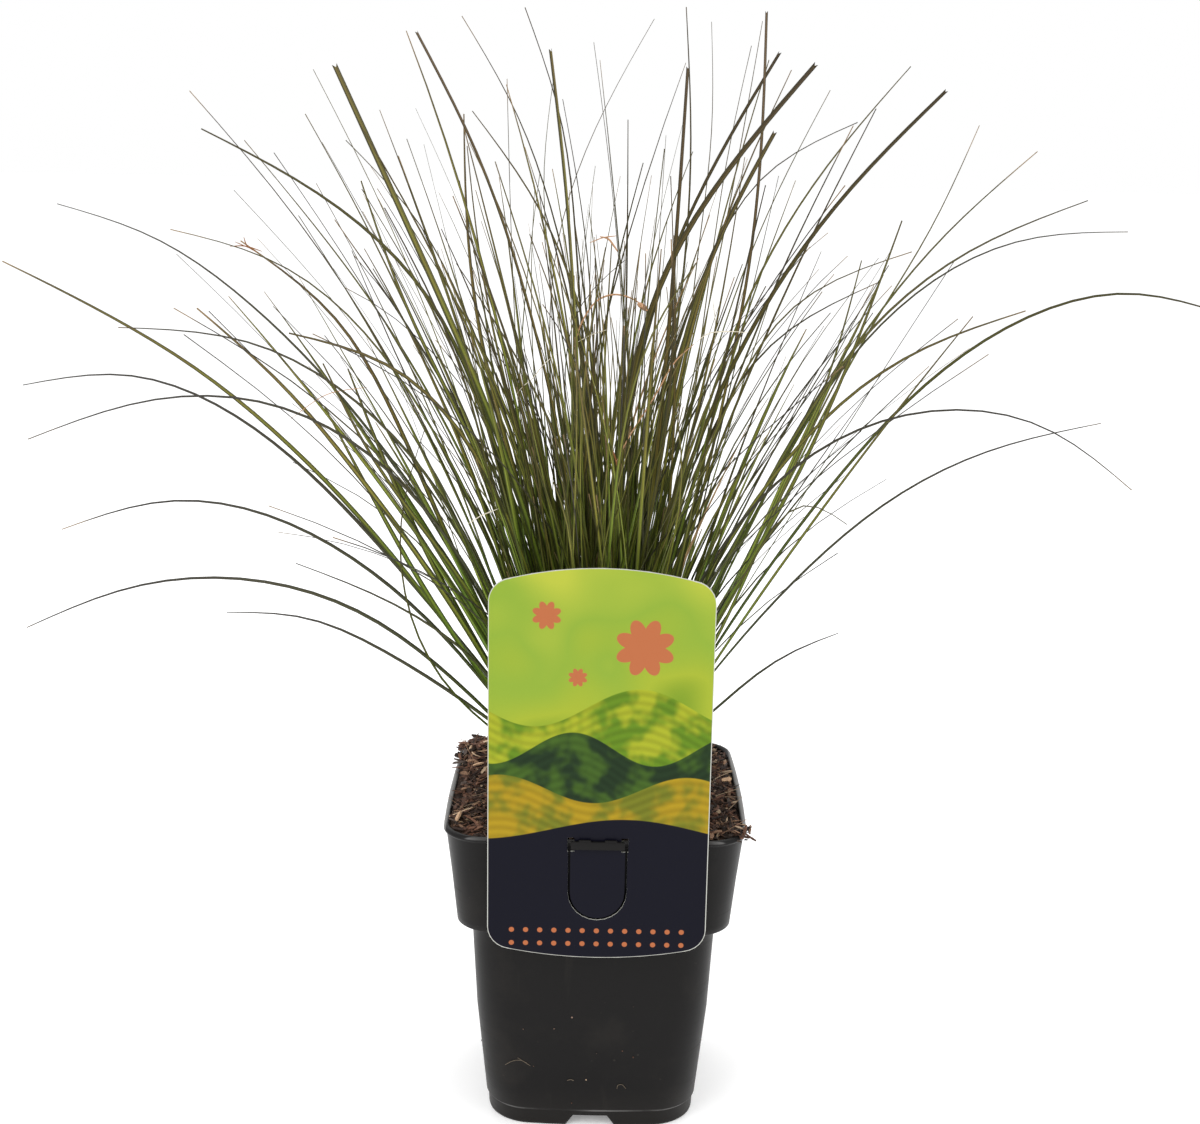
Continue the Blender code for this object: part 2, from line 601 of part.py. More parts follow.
@dataclass
class Shoot:
    """A leafy shoot: where its sheath starts in the soil, which way it leans, and how tall it is."""

    name: str
    place: np.ndarray
    base: np.ndarray
    axis: np.ndarray
    rise: float

    def on_axis(self, share: float) -> np.ndarray:
        """A point of the sheath's axis, from the soil's surface at 0 to the sheath's top at 1."""
        return self.base + self.axis * (SHEATH_DEPTH + self.rise * share)


@dataclass
class Blade:
    """One leaf: the points of its middle line from root to tip, and the width at its widest."""

    shoot: int
    points: np.ndarray
    width: float
    blunt: bool
    turn: float
    leads: bool


def crown_of_shoots(draw: np.random.Generator) -> list:
    """Spread the shoots over the crown like the seeds of a sunflower, each leaning outwards."""
    crown = []
    for count in range(SHOOTS):
        share = math.sqrt((count + 0.5) / SHOOTS)
        angle = count * GOLDEN_ANGLE
        outward = np.array((math.cos(angle), math.sin(angle), 0.0))
        lean = SHEATH_LEAN * share
        axis = outward * math.sin(lean) + np.array((0.0, 0.0, math.cos(lean)))
        place = outward * share * CROWN_RADIUS
        surface = soil_height(place[:1], place[1:2])[0]
        base = place + np.array((0.0, 0.0, surface)) - axis * SHEATH_DEPTH
        rise = draw.uniform(*SHEATH_RISE)
        crown.append(Shoot(f"shoot_{count + 1:02d}", place, base, axis, rise))
    return crown


def smooth_route(points: np.ndarray, shares: np.ndarray) -> np.ndarray:
    """Read a smooth curve through given points at shares of its length (a Catmull-Rom spline)."""
    steps = np.linalg.norm(np.diff(points, axis=0), axis=1)
    knots = np.concatenate(((0.0,), np.cumsum(steps))) / steps.sum()
    slopes = np.gradient(points, knots, axis=0, edge_order=1)
    spans = np.clip(np.searchsorted(knots, shares, side="right") - 1, 0, len(steps) - 1)
    length = (knots[spans + 1] - knots[spans])[:, None]
    local = (shares[:, None] - knots[spans][:, None]) / length
    start, end = points[spans], points[spans + 1]
    start_slope, end_slope = slopes[spans] * length, slopes[spans + 1] * length
    square, cube = local ** 2, local ** 3
    return ((2 * cube - 3 * square + 1) * start + (cube - 2 * square + local) * start_slope
            + (3 * square - 2 * cube) * end + (cube - square) * end_slope)


def ring_shares(length: float) -> np.ndarray:
    """Where a blade's rings lie along it: one close to the root, then evenly, more on a long blade."""
    count = int(np.clip(round(length / RING_SPACING), 5, 8))
    return np.concatenate(((0.0,), np.linspace(FIRST_RING / length, 1.0, count)))


def leader_blade(leader: Leader, shoot: int, root: np.ndarray) -> Blade:
    """Lay a leading blade from its root along its route, moved to its depth along the line of sight."""
    flat = np.array(leader.route, dtype=float) * MM
    across, up = flat[:, 0], flat[:, 1] - PICTURE_MIDDLE
    cosine, sine = math.cos(PICTURE_ROLL), math.sin(PICTURE_ROLL)
    on_plane = np.column_stack((across * cosine - up * sine, np.zeros(len(flat)),
                                PICTURE_MIDDLE + across * sine + up * cosine))
    reach = np.linalg.norm(on_plane - root, axis=1)
    depths = root[1] + (leader.depth * MM - root[1]) * (reach / reach[-1])
    scale = (depths - EYE[1]) / -EYE[1]
    placed = EYE + (on_plane - EYE) * scale[:, None]
    through = np.vstack((root, placed))
    length = np.linalg.norm(np.diff(through, axis=0), axis=1).sum()
    points = smooth_route(through, ring_shares(length))
    return Blade(shoot, points, leader.width * MM, leader.blunt, math.radians(leader.turn), True)


def toward_edge(pair: tuple, edge: float) -> float:
    """A value that changes evenly from the crown's middle to its edge."""
    return pair[0] + pair[1] * edge


def filler_blade(draw: np.random.Generator, number: int, shoot: Shoot, root: np.ndarray) -> Blade:
    """Draw a blade that leaves its shoot steeply and arches outwards under its own weight."""
    edge = np.linalg.norm(shoot.place) / CROWN_RADIUS
    outwards = math.atan2(shoot.place[1], shoot.place[0])
    heading = outwards + draw.normal(0.0, toward_edge(FILLER_SWERVE, edge))
    length = draw.triangular(*FILLER_LENGTH)
    leaving = toward_edge(FILLER_RISE, edge * draw.random())
    leaving = max(leaving, toward_edge(FILLER_RISE_AT_CARD, max(0.0, -math.sin(heading))))
    bend = draw.triangular(FILLER_LEAST_BEND, toward_edge(FILLER_LIKELY_BEND, edge),
                           toward_edge(FILLER_MOST_BEND, edge))
    outward = np.array((math.cos(heading), math.sin(heading), 0.0))
    upward = np.array((0.0, 0.0, 1.0))
    first, second = math.radians(leaving), math.radians(leaving - bend)
    knee = root + FILLER_KNEE * length * (outward * math.cos(first) + upward * math.sin(first))
    tip = knee + (1 - FILLER_KNEE) * length * (outward * math.cos(second) + upward * math.sin(second))
    share = ring_shares(length)[:, None]
    points = (1 - share) ** 2 * root + 2 * share * (1 - share) * knee + share ** 2 * tip
    width = draw.triangular(*FILLER_WIDTH)
    return Blade(number, points, width, draw.random() < FILLER_BLUNT, draw.uniform(0.0, math.pi), False)


def root_on(shoot: Shoot, used: int) -> np.ndarray:
    """The root of a shoot's next blade: blades spring from their sheath one above another."""
    low, high = ROOT_SPAN
    return shoot.on_axis(low + (high - low) * used / BLADES_A_SHOOT)


def lay_out_blades(crown: list, draw: np.random.Generator) -> list:
    """Give each leader the free shoot that suits it best, then fill every shoot up."""
    places = np.array([shoot.place[:2] for shoot in crown])
    used = np.zeros(len(crown), dtype=int)
    blades = []
    for leader in sorted(LEADERS, key=lambda each: each.route[0][1]):
        across, up = leader.route[0]
        side = LEADER_FAN * across / (up - POT_HEIGHT / MM)
        wish = np.array((np.clip(side, -LEADER_SIDE, LEADER_SIDE),
                         np.clip(LEADER_DEPTH_SHARE * leader.depth, -LEADER_DEPTH, LEADER_DEPTH)))
        miss = np.linalg.norm(places - wish * MM, axis=1)
        miss[used >= LEADERS_A_SHOOT] = np.inf
        best = int(np.argmin(miss))
        blades.append(leader_blade(leader, best, root_on(crown[best], used[best])))
        used[best] += 1
    for number, shoot in enumerate(crown):
        for count in range(used[number], BLADES_A_SHOOT):
            blades.append(filler_blade(draw, number, shoot, root_on(shoot, count)))
    return blades


def width_share(share: np.ndarray, blunt: bool) -> np.ndarray:
    """A blade's width along it, as a share of its widest."""
    last = BLUNT_SHARE if blunt else TIP_SHARE
    rise = np.clip(share / 0.25, 0.0, 1.0)
    fall = np.clip((share - 0.5) / 0.5, 0.0, 1.0)
    return (ROOT_SHARE + (1 - ROOT_SHARE) * rise) * (1 - (1 - last) * fall ** 1.5)


def blade_widths(blade: Blade) -> np.ndarray:
    """The blade's width at each of its points."""
    steps = np.linalg.norm(np.diff(blade.points, axis=0), axis=1)
    share = np.concatenate(((0.0,), np.cumsum(steps))) / steps.sum()
    return np.maximum(blade.width * width_share(share, blade.blunt), THINNEST)


def closest_between(start_a: np.ndarray, end_a: np.ndarray, start_b: np.ndarray, end_b: np.ndarray) -> tuple:
    """Nearest points of pairs of straight pieces: their shares along each, and the vector from b to a."""
    run_a, run_b, offset = end_a - start_a, end_b - start_b, start_a - start_b
    aa = np.einsum("ij,ij->i", run_a, run_a)
    bb = np.einsum("ij,ij->i", run_b, run_b)
    ab = np.einsum("ij,ij->i", run_a, run_b)
    ao = np.einsum("ij,ij->i", run_a, offset)
    bo = np.einsum("ij,ij->i", run_b, offset)
    spread = np.maximum(aa * bb - ab * ab, 1e-20)
    share_a = np.clip((ab * bo - ao * bb) / spread, 0.0, 1.0)
    share_b = np.clip((ab * share_a + bo) / bb, 0.0, 1.0)
    share_a = np.clip((ab * share_b - ao) / aa, 0.0, 1.0)
    apart = start_a + run_a * share_a[:, None] - start_b - run_b * share_b[:, None]
    return share_a, share_b, apart


class Thicket:
    """All blades and sheaths as straight pieces with a radius, to be bent clear of one another."""

    def __init__(self, crown: list, blades: list) -> None:
        self.blades = blades
        lines = [blade.points for blade in blades]
        radii = [blade_widths(blade) / 2 for blade in blades]
        owners = [blade.shoot for blade in blades]
        for number, shoot in enumerate(crown):
            lines.append(np.array((shoot.on_axis(-0.4), shoot.on_axis(1.0))))
            radii.append(np.array((SHEATH_RADIUS, SHEATH_RADIUS)))
            owners.append(number)
        sizes = np.array([len(line) for line in lines])
        self.points = np.vstack(lines)
        self.line = np.repeat(np.arange(len(lines)), sizes)
        self.rank = np.concatenate([np.arange(size) for size in sizes])
        self.radius = np.concatenate(radii)
        self.free = (self.rank > 0) & (self.line < len(blades))
        self.start = np.flatnonzero(self.line[:-1] == self.line[1:])
        self.owner = np.array(owners)[self.line[self.start]]
        self.thick = np.maximum(self.radius[self.start], self.radius[self.start + 1])

    def near_pairs(self, margin: float) -> tuple:
        """Pieces of different lines whose balls meet, but for those fused at one shoot's root."""
        middle = (self.points[self.start] + self.points[self.start + 1]) / 2
        half = np.linalg.norm(self.points[self.start + 1] - self.points[self.start], axis=1) / 2
        reach = half + self.thick + margin
        first, second = np.triu_indices(len(self.start), 1)
        away = np.abs(middle[first] - middle[second]).max(axis=1)
        kept = away < reach[first] + reach[second]
        first, second = first[kept], second[kept]
        away = np.linalg.norm(middle[first] - middle[second], axis=1)
        other_line = self.line[self.start[first]] != self.line[self.start[second]]
        low = (self.rank[self.start[first]] < 2) & (self.rank[self.start[second]] < 2)
        fused = (self.owner[first] == self.owner[second]) & low
        kept = (away < reach[first] + reach[second]) & other_line & ~fused
        return first[kept], second[kept]

    def overlaps(self, first: np.ndarray, second: np.ndarray) -> tuple:
        """How much each pair lacks of its gap, and where and which way."""
        one, two = self.start[first], self.start[second]
        share_a, share_b, apart = closest_between(self.points[one], self.points[one + 1],
                                                  self.points[two], self.points[two + 1])
        distance = np.linalg.norm(apart, axis=1)
        radius_a = self.radius[one] + (self.radius[one + 1] - self.radius[one]) * share_a
        radius_b = self.radius[two] + (self.radius[two + 1] - self.radius[two]) * share_b
        lacking = radius_a + radius_b + BLADE_GAP - distance
        away = apart / np.maximum(distance, 1e-9)[:, None]
        return lacking, away, share_a, share_b

    def push_apart(self, first: np.ndarray, second: np.ndarray) -> None:
        """Move the ends of pieces that are too close, each by its share."""
        lacking, away, share_a, share_b = self.overlaps(first, second)
        hit = lacking > 0
        shift = np.zeros_like(self.points)
        count = np.zeros(len(self.points))
        one, two = self.start[first[hit]], self.start[second[hit]]
        step = (away * (lacking[:, None] * PUSH_SHARE + PUSH_EXTRA))[hit]
        for base, share, sign in ((one, share_a[hit], 1.0), (two, share_b[hit], -1.0)):
            weight = (1 - share) ** 2 + share ** 2
            for end, part in ((base, 1 - share), (base + 1, share)):
                np.add.at(shift, end, sign * step * (part / weight)[:, None])
                np.add.at(count, end, part > 0.05)
        shift /= np.sqrt(np.maximum(count, 1.0))[:, None]
        self.points[self.free] += shift[self.free]

    def keep_in_bounds(self) -> None:
        """Hold the blades above the rim, off the card and inside the tuft's box."""
        x, y, z = self.points.T
        outside = np.hypot(x, y) > CROWN_EDGE
        z[outside & self.free] = np.maximum(z, RIM_CLEARANCE)[outside & self.free]
        eye_run = (y - EYE[1]) / (CARD_FRONT - EYE[1])
        ahead = self.free & (y < NEAR_CARD)
        shadow_half = (CARD_HALF + CARD_CLEARANCE) * np.minimum(eye_run, 1.0)
        floor = EYE[2] - (EYE[2] - CARD_TOP - CARD_CLEARANCE) * np.minimum(eye_run, 1.0)
        caught = ahead & (np.abs(x) < shadow_half) & (z < floor)
        back = caught & (y > PAST_CARD)
        y[back] = np.maximum(y, BEHIND_CARD)[back]
        z[caught & ~back] = floor[caught & ~back]
        self.points[:, 0] = np.clip(x, BOX_MARGIN - SPREAD_X, SPREAD_X - BOX_MARGIN)
        self.points[:, 1] = np.clip(y, BOX_MARGIN - SPREAD_Y, SPREAD_Y - BOX_MARGIN)
        self.points[:, 2] = np.minimum(z, TUFT_TOP - BOX_MARGIN)

    def lift_over_card(self) -> None:
        """Raise every piece that would cut through the card, until it passes above its top edge."""
        one, two = self.start, self.start + 1
        before, after = self.points[one, 1] - CARD_FRONT, self.points[two, 1] - CARD_FRONT
        crosses = before * after < 0
        share = np.where(crosses, before / np.where(crosses, before - after, 1.0), 0.0)[:, None]
        at_card = self.points[one] * (1 - share) + self.points[two] * share
        lift = CARD_TOP + CARD_CLEARANCE - at_card[:, 2]
        hit = crosses & (lift > 0) & (np.abs(at_card[:, 0]) < CARD_HALF + CARD_CLEARANCE)
        for end in (one, two):
            held = end[hit][self.free[end[hit]]]
            self.points[held, 2] += lift[hit][self.free[end[hit]]]

    def bend_clear(self) -> None:
        """Push blades apart, round after round."""
        for count in range(CLEAR_ROUNDS):
            if count % PAIRS_RENEWED == 0:
                first, second = self.near_pairs(PAIR_MARGIN)
            self.push_apart(first, second)
            self.lift_over_card()
            self.keep_in_bounds()

    def touching(self) -> np.ndarray:
        """Pairs of lines of different shoots that still lie closer than two thirds of the gap."""
        first, second = self.near_pairs(0.0)
        lacking = self.overlaps(first, second)[0]
        apart = self.owner[first] != self.owner[second]
        hit = (lacking > BLADE_GAP / 3) & apart
        lines = np.column_stack((self.line[self.start[first[hit]]], self.line[self.start[second[hit]]]))
        return np.unique(np.sort(lines, axis=1), axis=0)

    def settled(self) -> list:
        """The blades with their new points, without those that still touch another shoot."""
        pairs = self.touching()
        dropped = set()
        while True:
            left = [pair for pair in pairs if not dropped & set(pair.tolist())]
            if not left:
                break
            lines, counts = np.unique(np.array(left), return_counts=True)
            blade_like = lines < len(self.blades)
            leads = np.array([line < len(self.blades) and self.blades[line].leads for line in lines])
            score = np.where(blade_like, counts - 0.5 * leads, -1.0)
            dropped.add(int(lines[np.argmax(score)]))
        kept = []
        for number, blade in enumerate(self.blades):
            blade.points = self.points[self.line == number]
            if number not in dropped:
                kept.append(blade)
        return kept


def stretch_to_box(blades: list) -> None:
    """Carry the furthest tip on each side out to the tuft's box, so that the box is centred on the pot."""
    tips = np.array([blade.points[-1] for blade in blades])
    for axis, limit in ((0, SPREAD_X), (1, SPREAD_Y)):
        blades[int(np.argmax(tips[:, axis]))].points[-1][axis] = limit
        blades[int(np.argmin(tips[:, axis]))].points[-1][axis] = -limit
    blades[int(np.argmax(tips[:, 2]))].points[-1][2] = TUFT_TOP


def blade_rings(blade: Blade) -> list:
    """The blade's sections: low triangles, flat on the upper side, that turn slowly towards the tip."""
    points = blade.points
    runs = np.gradient(points, axis=0)
    runs /= np.linalg.norm(runs, axis=1)[:, None]
    lean = points[-1] - points[0]
    side = np.array((-lean[1], lean[0], 0.0))
    side /= np.linalg.norm(side)
    across = side - runs * (runs @ side)[:, None]
    across /= np.linalg.norm(across, axis=1)[:, None]
    up = np.cross(across, runs)
    turns = blade.turn * np.linspace(0.0, 1.0, len(points)) ** 0.6
    cosine, sine = np.cos(turns)[:, None], np.sin(turns)[:, None]
    wide = across * cosine + up * sine
    tall = up * cosine - across * sine
    half = (blade_widths(blade) / 2)[:, None]
    thickness = np.maximum(2 * half * THICKNESS_SHARE, THINNEST)
    left = points - wide * half + tall * thickness / 3
    right = points + wide * half + tall * thickness / 3
    keel = points - tall * thickness * 2 / 3
    return list(np.stack((left, right, keel), axis=1))


def make_blade(blade: Blade, number: int, collection: bpy.types.Collection) -> bpy.types.Object:
    """One blade as a closed solid with a pointed or a cut-off tip."""
    rings = blade_rings(blade)
    shape = loft(rings) if blade.blunt else loft(rings[:-1], blade.points[-1])
    return mesh_object(f"blade_{number:03d}", shape, collection)


def make_shoot(shoot: Shoot, blades: list, dryness: float, collection: bpy.types.Collection) -> None:
    """Fuse a shoot's sheath and its blades into one solid."""
    top = Vector(shoot.on_axis(1.0))
    item = rod(shoot.name, Vector(shoot.base), top, (SHEATH_RADIUS, SHEATH_TIP_RADIUS), SHEATH_SIDES,
               collection)
    pieces = new_collection(f"{shoot.name}_blades")
    for number, blade in enumerate(blades):
        make_blade(blade, number, pieces)
    union_into(item, pieces)
    item.data.materials.clear()
    item.data.materials.append(blade_material(f"{shoot.name}_leaf", dryness))


def main() -> None:
    """Build the pot, the card, the soil and the tuft."""
    clear_scene()
    draw = np.random.default_rng(SEED)
    sedge = new_collection("potted_sedge")
    crown = crown_of_shoots(draw)
    thicket = Thicket(crown, lay_out_blades(crown, draw))
    thicket.bend_clear()
    blades = thicket.settled()
    stretch_to_box(blades)
    make_pot(sedge)
    make_card(sedge)
    make_soil(sedge, crown)
    for number, shoot in enumerate(crown):
        own = [blade for blade in blades if blade.shoot == number]
        make_shoot(shoot, own, draw.random(), sedge)
    leads = sum(blade.leads for blade in blades)
    print(f"kept {len(blades)} blades, {leads} of {len(LEADERS)} leaders, on {len(crown)} shoots")


main()
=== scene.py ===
"""The looks of the potted sedge: finer leaves, soil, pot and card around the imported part.

Everything is in metres in the part's own frame: +Z is up, the pot's foot is centred on the origin and the
card faces -Y. The tuft's leaves lie on the same lines as the part's, worked out by the same seeded rule.
"""
import json
import logging
import math
from dataclasses import dataclass, field
from enum import Enum

import bpy
import numpy as np
from mathutils import Matrix, Vector, noise


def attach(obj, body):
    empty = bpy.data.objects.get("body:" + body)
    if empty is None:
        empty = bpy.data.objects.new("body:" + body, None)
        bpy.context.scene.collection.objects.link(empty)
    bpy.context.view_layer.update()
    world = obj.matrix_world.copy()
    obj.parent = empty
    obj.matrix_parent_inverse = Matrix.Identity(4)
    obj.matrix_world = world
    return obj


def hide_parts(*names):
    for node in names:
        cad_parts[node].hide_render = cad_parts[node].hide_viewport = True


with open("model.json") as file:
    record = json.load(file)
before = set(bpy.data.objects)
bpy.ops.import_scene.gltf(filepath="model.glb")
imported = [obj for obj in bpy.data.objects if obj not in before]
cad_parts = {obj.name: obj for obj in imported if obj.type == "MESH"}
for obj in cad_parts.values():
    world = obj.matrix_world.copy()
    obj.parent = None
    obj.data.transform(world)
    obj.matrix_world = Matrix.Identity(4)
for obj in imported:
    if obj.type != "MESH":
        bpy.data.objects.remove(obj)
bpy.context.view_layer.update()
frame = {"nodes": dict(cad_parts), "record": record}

LOG = logging.getLogger("potted_sedge")
MM = 0.001
SEED = 1650
LOOKS_SEED = 4127

EYE = np.array((0.0, -620.0 * MM, 356.0 * MM))
PICTURE_MIDDLE = 210.6 * MM
PICTURE_ROLL = math.radians(1.05)

RIM_HALF = 55.0 * MM
POT_HEIGHT = 122.0 * MM
LIP_HEIGHT = 2.0 * MM
COLLAR_TOP_HALF = 54.0 * MM
COLLAR_FOOT_HALF = 50.6 * MM
COLLAR_FOOT = 85.5 * MM
COLLAR_CORNER = 14.0 * MM
BODY_TOP_HALF = 45.3 * MM
BODY_MIDDLE_HALF = 43.6 * MM
BODY_MIDDLE = 46.0 * MM
BODY_FOOT_HALF = 40.2 * MM
FOOT_RING_HALF = 39.3 * MM
FOOT_RING_HEIGHT = 6.4 * MM
FOOT_RING_WIDTH = 2.6 * MM
FLOOR_UNDERSIDE = 4.9 * MM
FLOOR_TOP = 6.4 * MM
WALL = 1.1 * MM
SIDE_BULGE = 0.9 * MM
NOTCH_WIDTH = 17.7 * MM
NOTCH_HEIGHT = 4.4 * MM

CARD_FRONT = -57.7 * MM
CARD_CENTRE_X = 1.1 * MM
CARD_HALF = 39.1 * MM
CARD_BOTTOM = 78.0 * MM
CARD_TOP = 222.0 * MM
CARD_CORNER = 8.5 * MM

SOIL_EDGE = 119.6 * MM
SOIL_CROWN_RISE = 5.0 * MM
SOIL_CROWN_WIDTH = 24.0 * MM
SOIL_HEAP_RISE = 6.0 * MM
SOIL_HEAP_PLACE = (-33.0 * MM, 31.0 * MM)
SOIL_HEAP_WIDTH = 13.0 * MM
SOIL_LUMP = 1.1 * MM
SOIL_LUMP_SIZE = 9.0 * MM

# The tuft: the same numbers as the part's.
SHOOTS = 34
CROWN_RADIUS = 18.5 * MM
GOLDEN_ANGLE = math.radians(137.5)
SHEATH_RADIUS = 1.55 * MM
SHEATH_TIP_RADIUS = 0.75 * MM
SHEATH_DEPTH = 10.0 * MM
SHEATH_FOOT = -0.4
SHEATH_RISE = (12.0 * MM, 22.0 * MM)
SHEATH_LEAN = math.radians(17.0)
BLADES_A_SHOOT = 7
LEADERS_A_SHOOT = 3
LEADER_FAN = 20.0
LEADER_SIDE = 17.0
LEADER_DEPTH_SHARE = 0.3
LEADER_DEPTH = 15.0
ROOT_SPAN = (0.12, 0.72)
FIRST_RING = 17.0 * MM
RING_SPACING = 40.0 * MM
FILLER_LENGTH = (105.0 * MM, 190.0 * MM, 295.0 * MM)
FILLER_WIDTH = (1.1 * MM, 1.5 * MM, 2.2 * MM)
FILLER_BLUNT = 0.12
FILLER_SWERVE = (1.45, -1.1)
FILLER_RISE = (87.0, -34.0)
FILLER_RISE_AT_CARD = (60.0, 20.0)
FILLER_LEAST_BEND = 2.0
FILLER_LIKELY_BEND = (5.0, 12.0)
FILLER_MOST_BEND = (22.0, 40.0)
FILLER_KNEE = 0.55
SPREAD_X = 228.0 * MM
SPREAD_Y = 172.0 * MM
TUFT_TOP = 411.0 * MM
BLADE_GAP = 0.3 * MM
CLEAR_ROUNDS = 90
PAIRS_RENEWED = 10
PAIR_MARGIN = 4.0 * MM
PUSH_SHARE = 0.55
PUSH_EXTRA = 0.02 * MM
PUSH_COUNTS = 0.05
CROWN_EDGE = 24.0 * MM
RIM_CLEARANCE = 132.0 * MM
CARD_CLEARANCE = 8.0 * MM
NEAR_CARD = -38.0 * MM
BEHIND_CARD = -44.0 * MM
PAST_CARD = -73.0 * MM
BOX_MARGIN = 2.0 * MM
THINNEST = 0.62 * MM
ROOT_SHARE = 0.6
TIP_SHARE = 0.36
BLUNT_SHARE = 0.8
WIDENS_OVER = 0.25
NARROWS_FROM = 0.5
NARROWS_BY = 1.5


class Tone(Enum):
    """A leaf's colour as (least, most) of its age, then (least, most) of its brightness."""

    GREEN = (0.0, 0.20, 0.75, 1.2)
    OLIVE = (0.20, 0.46, 0.7, 1.2)
    BRONZE = (0.55, 0.80, 0.75, 1.15)
    DARK = (0.35, 0.55, 0.32, 0.55)
    BRIGHT = (-0.05, 0.10, 1.12, 1.40)
    SHADY = (0.0, 0.30, 0.35, 0.6)


SLOT_TONES = {
    "leaf_green": (Tone.GREEN, Tone.GREEN, Tone.OLIVE, Tone.SHADY),
    "leaf_olive": (Tone.OLIVE, Tone.OLIVE, Tone.GREEN, Tone.DARK),
    "leaf_bronze": (Tone.BRONZE, Tone.OLIVE, Tone.OLIVE, Tone.DARK),
}


@dataclass(frozen=True)
class Leader:
    """A listed leaf: its route in the picture plane in millimetres, from low down to its tip.

    depth is how far its tip lies behind the plane y = 0, width its width in the part, slender how much of it
    the looks keep, and turn how many degrees it turns about its middle line.
    """

    route: tuple
    depth: float
    width: float
    blunt: bool = False
    turn: float = 70.0
    tone: Tone | None = None
    slender: float = 1.0


